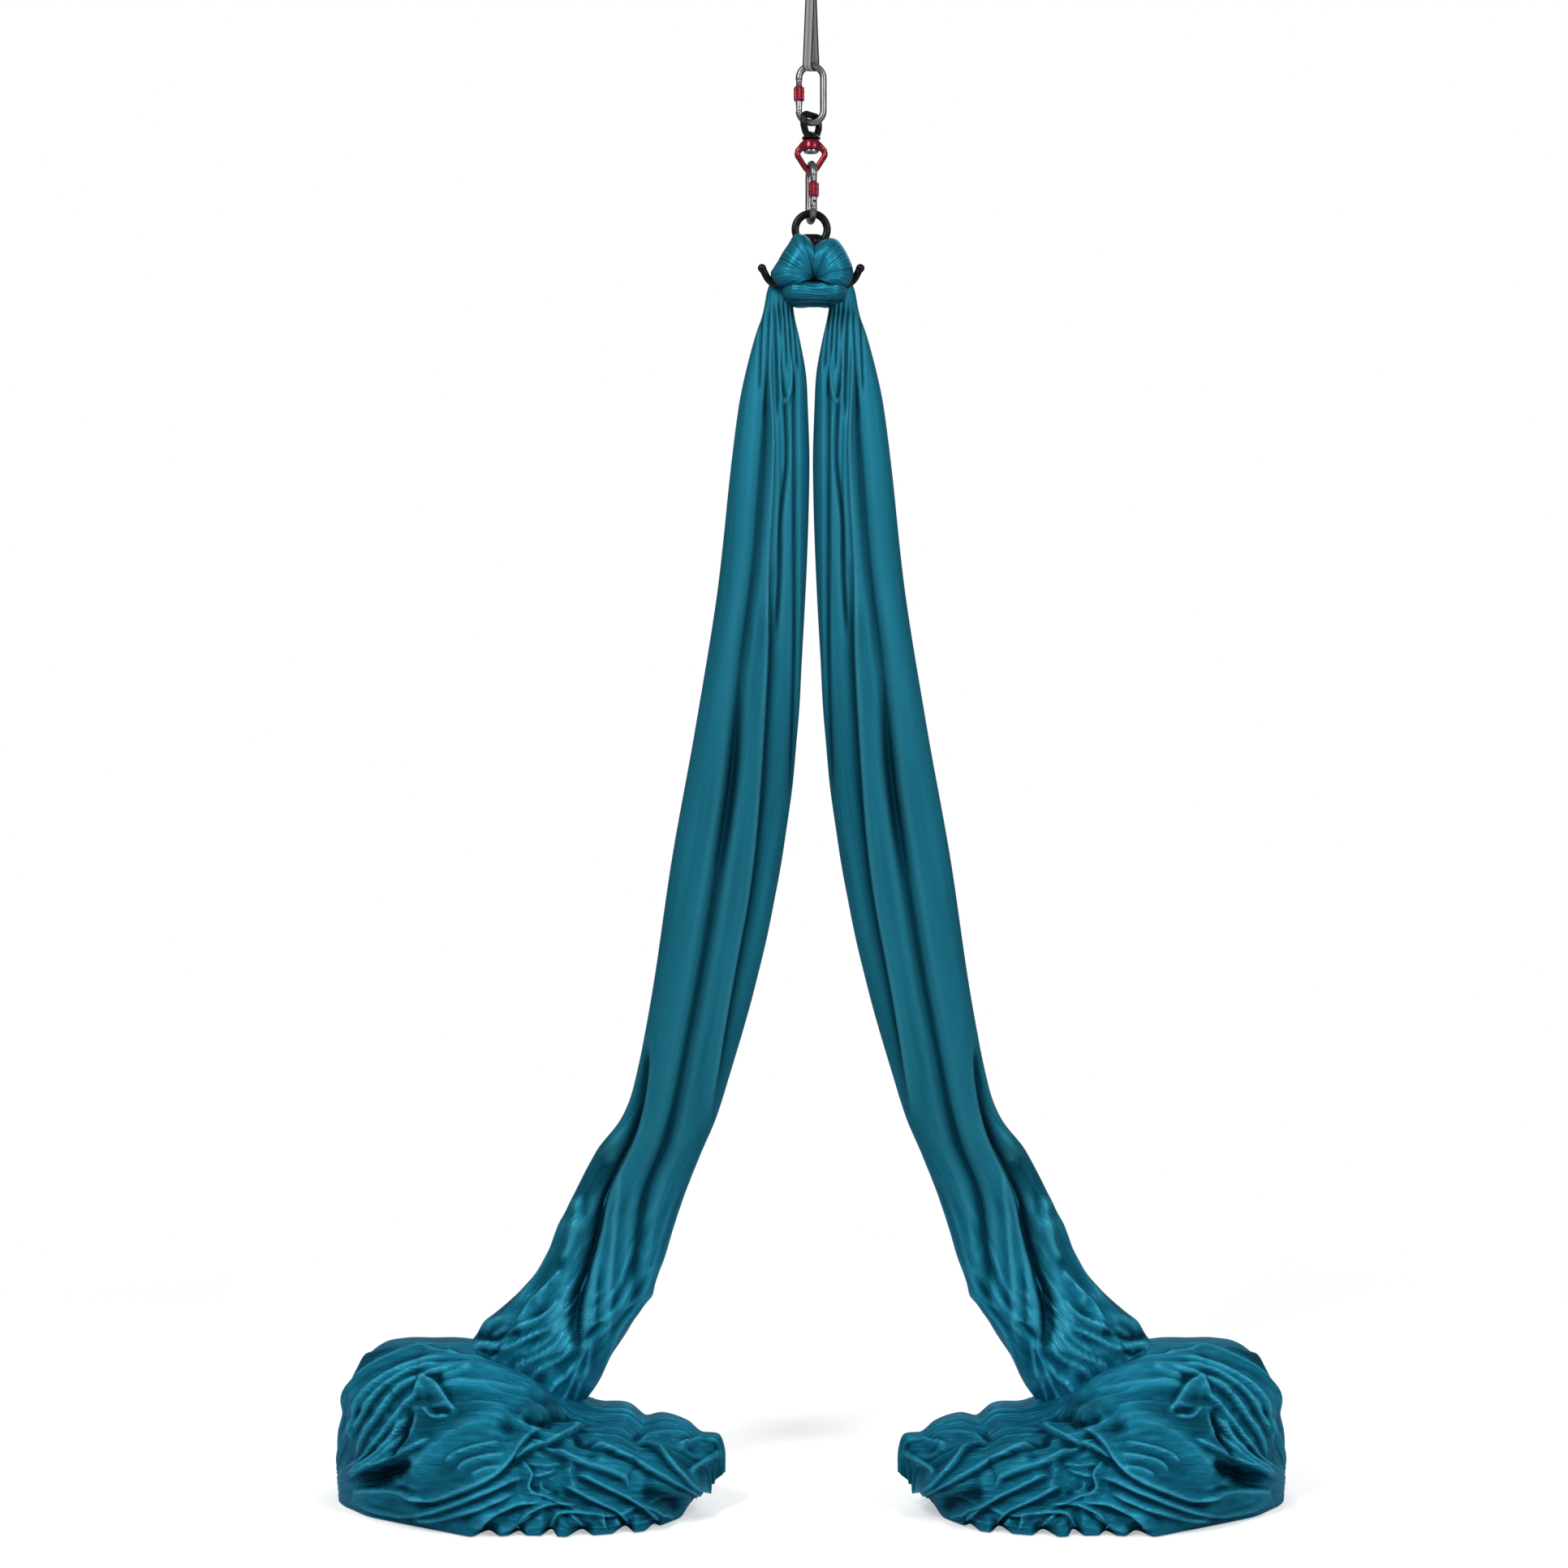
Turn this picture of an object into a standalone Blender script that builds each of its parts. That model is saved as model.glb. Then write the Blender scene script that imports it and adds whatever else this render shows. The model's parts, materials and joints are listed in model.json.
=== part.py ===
# Aerial silk rig: a webbing sling, a screw-lock carabiner, a ball-bearing swivel, a second
# carabiner, a rescue figure-eight and one long silk tied to it, whose two tails run to the floor.
# Metres, +Z up. The origin is where the sling's top bight bears on what holds the rig up.

import math

import bmesh
import bpy
from mathutils import Matrix, Vector

# Clearances
SEAT_GAP = 0.0003
PIN_GAP = 0.0003
SLIDE_GAP = 0.0003
LINK_GAP = 0.0006
JOIN_OVERLAP = 0.001

# Sling of sewn flat webbing
SLING_REACH = 0.17975
WEBBING_WIDTH = 0.0155
WEBBING_THICKNESS = 0.0025
SUPPORT_BAR_DIAMETER = 0.012
BIGHT_GAP = 0.0005
BIGHT_SWING_ROOM = 0.0021
SLING_SWING = math.radians(20)
FRONT_LEG_OFFSET = -0.0068
BACK_LEG_OFFSET = 0.0062

# Carabiners
CARABINER_LENGTH = 0.106
CARABINER_WIDTH = 0.052
BAR_DIAMETER = 0.0115
HINGE_BELOW_MIDDLE = 0.022
NOSE_ABOVE_MIDDLE = 0.024
NOSE_GAP = 0.0005
GATE_BORE_DIAMETER = 0.0068
GATE_PIN_DIAMETER = 0.0028
PIN_RECESS = 0.0002
TONGUE_THICKNESS = 0.0042
TONGUE_REACH = 0.0044
LATCH_DEPTH = 0.0084
LATCH_PIN_DEPTH = 0.005
LATCH_BACK = 0.0046
LATCH_FRONT = 0.0025
LATCH_FLOOR_GAP = 0.001
FORK_CLEARANCE = 0.0004
GATE_WEB = 0.003
ROD_DIAMETER = 0.004
ROD_LENGTH = 0.007
ROD_HEAD_DIAMETER = 0.006
SPRING_WIRE = 0.0008
SPRING_TURNS = 6
SLEEVE_DIAMETER = 0.0182
SLEEVE_LENGTH = 0.025
SLEEVE_TRAVEL = 0.014
SLEEVE_OVERLAP = 0.003
SLEEVE_CHAMFER = 0.0024
SLEEVE_FLUTES = 12
SLEEVE_FLUTE_DEPTH = 0.0009
LOWER_CARABINER_YAW = math.radians(101)

# Swivel
SWIVEL_REACH = 0.0689
EYE_YAW = math.radians(50)
EYE_BAR_IN_PLANE = 0.0106
EYE_BAR_ACROSS = 0.0116
EYE_TOP_HALF_WIDTH = 0.0178
EYE_HALF_WIDTH = 0.0194
EYE_BASE_HALF_WIDTH = 0.013
EYE_HOLE_DEPTH = 0.0218
EYE_WIDEST_DEPTH = 0.006
EYE_FLANGE_DIAMETER = 0.0314
EYE_FLANGE_HEIGHT = 0.0071
SHAFT_DIAMETER = 0.0134
HEAD_DIAMETER = 0.033
HEAD_HEIGHT = 0.0176
HEAD_WEB = 0.0032
HEAD_BORE_DIAMETER = 0.0256
BEARING_HEIGHT = 0.009
RACE_WALL = 0.0012
RACE_SHOULDER = 0.0007
BALL_DIAMETER = 0.0026
BALL_COUNT = 10
NUT_HUB_DIAMETER = 0.0188
NUT_FLANGE_DIAMETER = 0.0248
NUT_FLANGE_HEIGHT = 0.0038
FRAME_BAR_IN_PLANE = 0.010
FRAME_BAR_ACROSS = 0.012
FRAME_HALF_WIDTH = 0.0245
FRAME_HALF_ANGLE = math.radians(33)

# Rescue figure-eight
SMALL_RING_HOLE = 0.040
BIG_RING_HOLE = 0.050
RING_BAR_IN_PLANE = 0.013
RING_BAR_ACROSS = 0.012
RING_SPACING = 0.0874
NECK_TOP_DEPTH = 0.0076
NECK_HALF_WIDTH = 0.0115
EAR_BAR_DIAMETER = 0.0115
EAR_REACH = 0.082
EAR_RISE = 0.026

# Silk
FLOOR_DROP = 2.564
KNOT_HEIGHT = 0.109
KNOT_TOP_DEPTH = 0.0234
KNOT_HALF_WIDTH = 0.067
KNOT_HALF_DEPTH = 0.043
SILK_CLEARANCE = 0.0004
TAIL_PIVOT_DEPTH = 0.1104
TAIL_PIVOT_OFFSET = 0.052
TAIL_TOP_RADIUS = 0.025
TAIL_TOP_BACK = 0.027
TAIL_TOP_HALF_DEPTH = 0.0165
TAIL_SWING_GAP = 0.0003
KNOT_WELL_ROOM = 0.002
TAIL_FLUTES = 8
TAIL_FLUTE_DEPTH = 0.17
TAIL_FOOT_HEIGHT = 0.150
TAIL_SOCKET_ROOM = 0.0012
HEAP_FULLNESS = 0.8

# Each tail station: share of the drop, centre's lead out from the pivot, half width,
# centre depth, half depth
TAIL_STATIONS = (
    (0.000, 0.000, TAIL_TOP_RADIUS, TAIL_TOP_BACK, TAIL_TOP_HALF_DEPTH),
    (0.020, 0.001, TAIL_TOP_RADIUS + 0.001, TAIL_TOP_BACK, TAIL_TOP_HALF_DEPTH),
    (0.068, 0.008, 0.051, 0.020, 0.026),
    (0.156, 0.018, 0.067, 0.006, 0.036),
    (0.389, 0.057, 0.085, 0.000, 0.042),
    (0.623, 0.128, 0.084, 0.000, 0.042),
    (0.740, 0.188, 0.079, 0.004, 0.042),
    (0.828, 0.267, 0.095, 0.012, 0.045),
    (0.876, 0.302, 0.103, 0.020, 0.048),
    (0.930, 0.375, 0.126, 0.028, 0.054),
    (0.959, 0.406, 0.122, 0.030, 0.056),
    (1.000, 0.419, 0.088, 0.026, 0.054),
)

# Each heap station: distance out from the tail's pivot, height, depth of its top, of its front
# edge and of its back edge, and how far its foot leans outward
HEAP_STATIONS = (
    (0.734, 0.060, 0.030, 0.000, 0.060, 0.000),
    (0.718, 0.176, 0.030, -0.062, 0.120, 0.000),
    (0.696, 0.226, 0.036, -0.100, 0.146, 0.000),
    (0.668, 0.248, 0.042, -0.135, 0.166, 0.000),
    (0.633, 0.256, 0.046, -0.168, 0.182, 0.000),
    (0.588, 0.258, 0.050, -0.196, 0.196, 0.000),
    (0.538, 0.254, 0.050, -0.212, 0.204, 0.000),
    (0.478, 0.240, 0.046, -0.220, 0.206, 0.000),
    (0.418, 0.214, 0.030, -0.224, 0.200, 0.004),
    (0.358, 0.176, 0.006, -0.226, 0.184, 0.012),
    (0.298, 0.150, -0.018, -0.224, 0.156, 0.022),
    (0.248, 0.146, -0.030, -0.220, 0.126, 0.032),
    (0.198, 0.138, -0.040, -0.208, 0.096, 0.044),
    (0.153, 0.128, -0.048, -0.184, 0.064, 0.054),
    (0.118, 0.114, -0.056, -0.140, 0.026, 0.060),
    (0.096, 0.070, -0.060, -0.090, -0.020, 0.062),
)

# Facets
BAR_SIDES = 10
ROUND_STEPS = 20
PIN_STEPS = 10
TAIL_SIDES = 40
TAIL_ROWS = 22
CAP_ROWS = 4
KNOT_SIDES = 36
KNOT_ROWS = 12
HEAP_SIDES = 28

# Heights that the parts share
BAR_RADIUS = BAR_DIAMETER / 2
CORNER_RADIUS = (CARABINER_WIDTH - BAR_DIAMETER) / 2
BAR_SPAN = CARABINER_LENGTH - BAR_DIAMETER
MIDDLE_DROP = BAR_SPAN / 2
UPPER_TOP = -SLING_REACH
UPPER_BOTTOM = UPPER_TOP - BAR_SPAN
LOWER_TOP = UPPER_BOTTOM - SWIVEL_REACH
LOWER_BOTTOM = LOWER_TOP - BAR_SPAN
SMALL_RING_RADIUS = (SMALL_RING_HOLE + RING_BAR_IN_PLANE) / 2
BIG_RING_RADIUS = (BIG_RING_HOLE + RING_BAR_IN_PLANE) / 2
SMALL_RING_CENTRE = LOWER_BOTTOM + BAR_RADIUS + SEAT_GAP - SMALL_RING_HOLE / 2
EIGHT_PIVOT = SMALL_RING_CENTRE + SMALL_RING_RADIUS
BIG_RING_CENTRE = SMALL_RING_CENTRE - RING_SPACING
KNOT_TOP = SMALL_RING_CENTRE - KNOT_TOP_DEPTH
TAIL_PIVOT = SMALL_RING_CENTRE - TAIL_PIVOT_DEPTH
FLOOR = -FLOOR_DROP
TAIL_FOOT = FLOOR + TAIL_FOOT_HEIGHT


def clear_scene():
    for old in list(bpy.data.objects):
        bpy.data.objects.remove(old)


def finish_material(name, colour, roughness, metallic):
    look = bpy.data.materials.new(name)
    look.use_nodes = True
    shader = look.node_tree.nodes["Principled BSDF"]
    shader.inputs["Base Color"].default_value = (*colour, 1.0)
    shader.inputs["Roughness"].default_value = roughness
    shader.inputs["Metallic"].default_value = metallic
    return look


STEEL = ((0.42, 0.43, 0.43), 0.28, 1.0)
DARK_STEEL = ((0.25, 0.25, 0.26), 0.35, 1.0)
RED_ANODISED = ((0.30, 0.012, 0.022), 0.35, 0.8)
BLACK_ANODISED = ((0.006, 0.007, 0.007), 0.40, 0.4)
WEBBING_GREY = ((0.21, 0.21, 0.22), 0.85, 0.0)
TEAL_SILK = ((0.01, 0.13, 0.19), 0.45, 0.0)


def pivot(name, place, parent=None, yaw=0.0):
    """An empty on a joint's axis, which carries the pieces that turn there."""
    empty = bpy.data.objects.new(name, None)
    bpy.context.collection.objects.link(empty)
    empty.parent = parent
    empty.location = place
    empty.rotation_euler = (0.0, 0.0, yaw)
    return empty


def solid(name, shape, look=None, parent=None, smooth=True):
    """One closed piece from a bmesh, in its parent's frame."""
    bmesh.ops.recalc_face_normals(shape, faces=shape.faces)
    mesh = bpy.data.meshes.new(name)
    shape.to_mesh(mesh)
    shape.free()
    piece = bpy.data.objects.new(name, mesh)
    bpy.context.collection.objects.link(piece)
    piece.parent = parent
    if look:
        dress(piece, look, smooth)
    return piece


def dress(piece, look, smooth=True):
    piece.data.materials.clear()
    piece.data.materials.append(finish_material(piece.name, *look))
    if smooth:
        piece.data.shade_smooth()
        piece.data.set_sharp_from_angle(angle=math.radians(40))


def skin(rows, loop=False):
    """Join rings of points into a closed skin, with flat ends unless the rings form a loop."""
    shape = bmesh.new()
    rings = [[shape.verts.new(point) for point in row] for row in rows]
    pairs = list(zip(rings, rings[1:]))
    if loop:
        pairs.append((rings[-1], rings[0]))
    for near, far in pairs:
        for index in range(len(near)):
            following = (index + 1) % len(near)
            shape.faces.new((near[index], near[following], far[following], far[index]))
    if not loop:
        shape.faces.new(rings[0])
        shape.faces.new(rings[-1])
    return shape


def turned(profile, steps=ROUND_STEPS, loop=False, flute=None):
    """Turn (radius, height) points about Z. A loop is a ring with a bore."""
    rows = []
    for radius, height in profile:
        row = []
        for step in range(steps):
            angle = 2 * math.pi * step / steps
            reach = radius - (flute(angle, height) if flute and radius > flute.floor else 0.0)
            row.append(Vector((reach * math.cos(angle), reach * math.sin(angle), height)))
        rows.append(row)
    return skin(rows, loop)


def oval(half_a, half_b, sides=BAR_SIDES):
    """Points of an oval section, as offsets in the path's plane and across it."""
    turns = [2 * math.pi * (side + 0.5) / sides for side in range(sides)]
    return [(half_a * math.cos(turn), half_b * math.sin(turn)) for turn in turns]


def rounded(corners, radii, steps=5):
    """Points of a flat path through corners, each rounded by its own radius."""
    count = len(corners)
    path = []
    for index, corner in enumerate(corners):
        radius = radii[index]
        if radius == 0:
            path.append(Vector(corner))
            continue
        here = Vector(corner)
        back = (Vector(corners[index - 1]) - here).normalized()
        ahead = (Vector(corners[(index + 1) % count]) - here).normalized()
        half = back.angle(ahead) / 2
        centre = here + (back + ahead).normalized() * (radius / math.sin(half))
        start = here + back * (radius / math.tan(half)) - centre
        end = here + ahead * (radius / math.tan(half)) - centre
        for step in range(steps + 1):
            blend = start.slerp(end, step / steps)
            path.append(centre + blend.normalized() * radius)
    return path


def swept(path, section, closed=False):
    """Sweep a section along points of the XZ plane. Section offsets are in the plane, then Y."""
    rows = []
    count = len(path)
    for index, point in enumerate(path):
        before = path[index - 1] if closed or index else point
        after = path[(index + 1) % count] if closed or index < count - 1 else point
        along = (Vector(after) - Vector(before)).normalized()
        side = Vector((along.y, -along.x))
        stretch = 1.0
        if before is not point and after is not point:
            bend = (Vector(point) - Vector(before)).angle(Vector(after) - Vector(point))
            stretch = 1 / math.cos(bend / 2)
        row = []
        for in_plane, across in section:
            flat = Vector(point) + side * (in_plane * stretch)
            row.append(Vector((flat.x, across, flat.y)))
        rows.append(row)
    return skin(rows, closed)


def box(low, high):
    shape = bmesh.new()
    bmesh.ops.create_cube(shape, size=1.0)
    size = Vector(high) - Vector(low)
    middle = (Vector(high) + Vector(low)) / 2
    bmesh.ops.transform(
        shape, verts=shape.verts, matrix=Matrix.Translation(middle) @ Matrix.Diagonal((*size, 1.0))
    )
    return shape


def cross_pin(radius, half_length, centre, steps=PIN_STEPS):
    """A round bar along Y through a point of the XZ plane."""
    rows = []
    for end in (-half_length, half_length):
        row = []
        for step in range(steps):
            angle = 2 * math.pi * step / steps
            row.append(
                Vector((
                    centre[0] + radius * math.cos(angle),
                    end,
                    centre[1] + radius * math.sin(angle),
                ))
            )
        rows.append(row)
    return skin(rows)


def combine(target, shape, operation):
    """Join, cut or intersect a piece with another shape in the same frame."""
    tool = solid("tool", shape, parent=target.parent)
    bpy.context.view_layer.update()
    change = target.modifiers.new(operation.title(), "BOOLEAN")
    change.operation = operation
    change.solver = "EXACT"
    change.object = tool
    graph = bpy.context.evaluated_depsgraph_get()
    target.data = bpy.data.meshes.new_from_object(target.evaluated_get(graph))
    target.modifiers.clear()
    bpy.data.objects.remove(tool)


def arc(centre, radius, first, last, steps):
    """Points of an arc in the XZ plane, angles in degrees from +X."""
    points = []
    for step in range(steps + 1):
        angle = math.radians(first + (last - first) * step / steps)
        points.append((centre[0] + radius * math.cos(angle), centre[1] + radius * math.sin(angle)))
    return points


def smooth_between(stations, share):
    """Read a table of stations at a share of the way, on one smooth curve."""
    last = len(stations) - 1
    index = max(i for i in range(last) if stations[i][0] <= share or i == 0)
    before = stations[max(index - 1, 0)]
    start = stations[index]
    end = stations[index + 1]
    after = stations[min(index + 2, last)]
    span = end[0] - start[0]
    t = (share - start[0]) / span
    values = []
    for column in range(1, len(start)):
        slope_in = (end[column] - before[column]) / (end[0] - before[0]) * span
        slope_out = (after[column] - start[column]) / (after[0] - start[0]) * span
        values.append(
            start[column] * (2 * t**3 - 3 * t**2 + 1)
            + slope_in * (t**3 - 2 * t**2 + t)
            + end[column] * (3 * t**2 - 2 * t**3)
            + slope_out * (t**3 - t**2)
        )
    return values


# Sling


def sling_webbing():
    """A loop of webbing: over the support, down in front, under the carabiner and up behind."""
    half = WEBBING_THICKNESS / 2
    top_radius = SUPPORT_BAR_DIAMETER / 2 + half
    top_centre = -SUPPORT_BAR_DIAMETER / 2
    low_radius = BAR_RADIUS + BIGHT_GAP + half
    side_radius = BAR_RADIUS + BIGHT_SWING_ROOM + half
    leg_steps = 7
    turn_steps = 12
    path = []
    for step in range(turn_steps + 1):
        angle = math.pi * step / turn_steps
        path.append((top_radius * math.cos(angle), top_centre + top_radius * math.sin(angle)))
    for step in range(1, leg_steps):
        share = step / leg_steps
        path.append((
            -top_radius + (top_radius - side_radius) * share,
            top_centre + (UPPER_TOP - top_centre) * share,
        ))
    for step in range(turn_steps + 1):
        angle = math.pi + math.pi * step / turn_steps
        path.append((side_radius * math.cos(angle), UPPER_TOP + low_radius * math.sin(angle)))
    for step in range(1, leg_steps):
        share = step / leg_steps
        path.append((
            side_radius + (top_radius - side_radius) * share,
            UPPER_TOP + (top_centre - UPPER_TOP) * share,
        ))
    edge = WEBBING_WIDTH / 2
    shoulder = edge - half
    section = ((-edge, 0.0), (-shoulder, half), (shoulder, half),
               (edge, 0.0), (shoulder, -half), (-shoulder, -half))
    rows = []
    count = len(path)
    for index, (depth, height) in enumerate(path):
        before = Vector(path[index - 1])
        after = Vector(path[(index + 1) % count])
        along = (after - before).normalized()
        outward = Vector((-along.y, along.x))
        if outward.dot(Vector((depth, height - UPPER_TOP / 2))) < 0 and abs(along.x) < 0.5:
            outward = -outward
        if abs(along.x) >= 0.5:
            outward = Vector((depth, height - (top_centre if height > UPPER_TOP / 2 else UPPER_TOP)))
            outward.normalize()
        low_share = min(max((top_centre - height) / (top_centre - UPPER_TOP), 0.0), 1.0)
        lean = (1 - depth / side_radius) / 2
        lean = min(max(lean, 0.0), 1.0)
        shift = low_share * (FRONT_LEG_OFFSET * lean + BACK_LEG_OFFSET * (1 - lean))
        row = []
        for across, out in section:
            flat = Vector((depth, height)) + outward * out
            point = Vector((shift + across, flat.x, flat.y))
            row.append(cupped(point, BAR_RADIUS + BIGHT_GAP + half + out))
        rows.append(row)
    return solid("sling_webbing", skin(rows, loop=True), WEBBING_GREY)


def cupped(point, reach):
    """Push a point of the bight out to its distance from the carabiner's curved top bar."""
    centre = Vector((0.0, 0.0, UPPER_TOP - CORNER_RADIUS))
    out = Vector((point.x, 0.0, point.z)) - centre
    nearest = centre + out.normalized() * CORNER_RADIUS
    reach += (UPPER_TOP - nearest.z) * math.sin(SLING_SWING)
    away = point - nearest
    if away.length >= reach:
        return point
    return nearest + away.normalized() * reach


# Carabiners. Their frame starts at the top bar's centre, with the gate at -X.

GATE_AXIS = -CORNER_RADIUS
HINGE_HEIGHT = -MIDDLE_DROP - HINGE_BELOW_MIDDLE
NOSE_HEIGHT = -MIDDLE_DROP + NOSE_ABOVE_MIDDLE
GATE_TOP = NOSE_HEIGHT - NOSE_GAP - HINGE_HEIGHT
FORK_HALF = TONGUE_THICKNESS / 2 + FORK_CLEARANCE
LATCH_PIN_HEIGHT = NOSE_HEIGHT - LATCH_PIN_DEPTH


def carabiner_body(prefix, frame):
    straight = MIDDLE_DROP - CORNER_RADIUS
    top_centre = (0.0, -MIDDLE_DROP + straight)
    low_centre = (0.0, -MIDDLE_DROP - straight)
    bar_end = HINGE_HEIGHT - BAR_RADIUS - FORK_CLEARANCE
    below = math.degrees(math.asin((low_centre[1] - bar_end) / CORNER_RADIUS))
    path = arc(low_centre, CORNER_RADIUS, 180 + below, 360, 12)
    path += [(CORNER_RADIUS, -MIDDLE_DROP)]
    path += arc(top_centre, CORNER_RADIUS, 0, 180, 12)
    path += [(GATE_AXIS, NOSE_HEIGHT)]
    body = solid(
        f"{prefix}_carabiner_body", swept(path, oval(BAR_RADIUS, BAR_RADIUS)), parent=frame
    )
    half = TONGUE_THICKNESS / 2
    tongue = box(
        (GATE_AXIS - TONGUE_REACH, -half, bar_end - JOIN_OVERLAP),
        (GATE_AXIS + TONGUE_REACH, half, HINGE_HEIGHT),
    )
    combine(body, tongue, "UNION")
    knuckle = cross_pin(TONGUE_REACH, half, (GATE_AXIS, HINGE_HEIGHT), 16)
    combine(body, knuckle, "UNION")
    hole = cross_pin(GATE_PIN_DIAMETER / 2 + PIN_GAP, BAR_DIAMETER, (GATE_AXIS, HINGE_HEIGHT))
    combine(body, hole, "DIFFERENCE")
    latch = box(
        (GATE_AXIS - LATCH_BACK, -half, NOSE_HEIGHT - LATCH_DEPTH),
        (GATE_AXIS + LATCH_FRONT, half, NOSE_HEIGHT + JOIN_OVERLAP),
    )
    combine(body, latch, "UNION")
    pin_room = GATE_PIN_DIAMETER / 2 + PIN_GAP
    notch = box(
        (GATE_AXIS - pin_room, -BAR_DIAMETER, LATCH_PIN_HEIGHT - pin_room),
        (GATE_AXIS + LATCH_FRONT + JOIN_OVERLAP, BAR_DIAMETER, LATCH_PIN_HEIGHT + pin_room),
    )
    combine(body, notch, "DIFFERENCE")
    dress(body, STEEL)
    return body


def carabiner_gate(prefix, hinge):
    """The gate tube, forked at both ends, in the hinge pin's frame."""
    edge = 0.0006
    profile = ((BAR_RADIUS - edge, -BAR_RADIUS), (BAR_RADIUS, -BAR_RADIUS + edge),
               (BAR_RADIUS, GATE_TOP - edge), (BAR_RADIUS - edge, GATE_TOP))
    gate = solid(f"{prefix}_gate", turned(profile, 16), parent=hinge)
    round_end = cross_pin(BAR_RADIUS, BAR_DIAMETER, (0.0, 0.0), 16)
    keep = box((-BAR_DIAMETER, -BAR_DIAMETER, 0.0), (BAR_DIAMETER, BAR_DIAMETER, GATE_TOP * 2))
    rounding = solid("rounding", round_end, parent=hinge)
    combine(rounding, keep, "UNION")
    outline = bmesh.new()
    outline.from_mesh(rounding.data)
    bpy.data.objects.remove(rounding)
    combine(gate, outline, "INTERSECT")
    slot_top = TONGUE_REACH + FORK_CLEARANCE
    low_slot = box((-BAR_DIAMETER, -FORK_HALF, -BAR_DIAMETER), (BAR_DIAMETER, FORK_HALF, slot_top))
    combine(gate, low_slot, "DIFFERENCE")
    slot_floor = GATE_TOP + NOSE_GAP - LATCH_DEPTH - LATCH_FLOOR_GAP
    high_slot = box(
        (-BAR_DIAMETER, -FORK_HALF, slot_floor), (BAR_DIAMETER, FORK_HALF, GATE_TOP * 2)
    )
    combine(gate, high_slot, "DIFFERENCE")
    bore = GATE_BORE_DIAMETER / 2
    bore_top = slot_floor - GATE_WEB
    combine(gate, turned(((bore, slot_top - JOIN_OVERLAP), (bore, bore_top)), 12), "DIFFERENCE")
    for height in (0.0, LATCH_PIN_HEIGHT - HINGE_HEIGHT):
        hole = cross_pin(GATE_PIN_DIAMETER / 2 + PIN_GAP, BAR_DIAMETER, (0.0, height))
        combine(gate, hole, "DIFFERENCE")
    dress(gate, STEEL)
    return slot_top, bore_top


def gate_spring(bottom, top):
    """A coil spring as one tube: close at both ends, open between them."""
    radius = ROD_HEAD_DIAMETER / 2 - SPRING_WIRE / 2 - 0.0001
    points = 8 * SPRING_TURNS
    low = bottom + SPRING_WIRE / 2 + SEAT_GAP
    high = top - SPRING_WIRE / 2 - SEAT_GAP
    rows = []
    for index in range(points + 1):
        share = index / points
        angle = 2 * math.pi * SPRING_TURNS * share
        outward = Vector((math.cos(angle), math.sin(angle), 0.0))
        centre = outward * radius + Vector((0.0, 0.0, low + (high - low) * share))
        row = []
        for side in range(4):
            turn = 2 * math.pi * side / 4
            row.append(
                centre
                + outward * (SPRING_WIRE / 2 * math.cos(turn))
                + Vector((0.0, 0.0, SPRING_WIRE / 2 * math.sin(turn)))
            )
        rows.append(row)
    pitch = (high - low) / SPRING_TURNS
    print(f"Spring gap between turns: {(pitch - SPRING_WIRE) * 1000:.2f} mm")
    return skin(rows)


def lock_sleeve():
    """The knurled screw sleeve, in the hinge pin's frame and in its unlocked place."""
    outer = SLEEVE_DIAMETER / 2
    bore = BAR_RADIUS + SLIDE_GAP
    top = GATE_TOP + NOSE_GAP + SLEEVE_OVERLAP - SLEEVE_TRAVEL
    bottom = top - SLEEVE_LENGTH
    profile = (
        (bore, bottom), (outer - SLEEVE_CHAMFER, bottom), (outer, bottom + SLEEVE_CHAMFER),
        (outer, (bottom + top) / 2), (outer, top - SLEEVE_CHAMFER),
        (outer - SLEEVE_CHAMFER, top), (bore, top),
    )

    def flute(angle, height):
        return SLEEVE_FLUTE_DEPTH * (0.5 + 0.5 * math.cos(angle * SLEEVE_FLUTES))

    flute.floor = outer - SLEEVE_CHAMFER / 2
    return turned(profile, 2 * SLEEVE_FLUTES, loop=True, flute=flute)


def carabiner(prefix, frame):
    """One screw-lock carabiner: body, gate, two pins, push rod, spring and sleeve."""
    carabiner_body(prefix, frame)
    hinge = pivot(f"{prefix}_gate_pivot", (GATE_AXIS, 0.0, HINGE_HEIGHT), frame)
    slot_top, bore_top = carabiner_gate(prefix, hinge)
    pin_radius = GATE_PIN_DIAMETER / 2
    pin_half = math.sqrt(BAR_RADIUS**2 - pin_radius**2) - PIN_RECESS
    latch_height = LATCH_PIN_HEIGHT - HINGE_HEIGHT
    solid(f"{prefix}_hinge_pin", cross_pin(pin_radius, pin_half, (0.0, 0.0)), DARK_STEEL, hinge)
    solid(
        f"{prefix}_latch_pin", cross_pin(pin_radius, pin_half, (0.0, latch_height)),
        DARK_STEEL, hinge,
    )
    rod_foot = TONGUE_REACH + SEAT_GAP
    rod_head = rod_foot + ROD_LENGTH
    head_height = 0.0015
    rod = (
        (ROD_DIAMETER / 2, rod_foot), (ROD_DIAMETER / 2, rod_head - head_height),
        (ROD_HEAD_DIAMETER / 2, rod_head - head_height), (ROD_HEAD_DIAMETER / 2, rod_head),
    )
    solid(f"{prefix}_push_rod", turned(rod, 12), DARK_STEEL, hinge)
    solid(f"{prefix}_gate_spring", gate_spring(rod_head, bore_top), DARK_STEEL, hinge)
    solid(f"{prefix}_lock_sleeve", lock_sleeve(), RED_ANODISED, hinge, smooth=False)


# Swivel. Its frame starts at the upper carabiner's bottom bar, on the swivel's axis.

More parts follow.
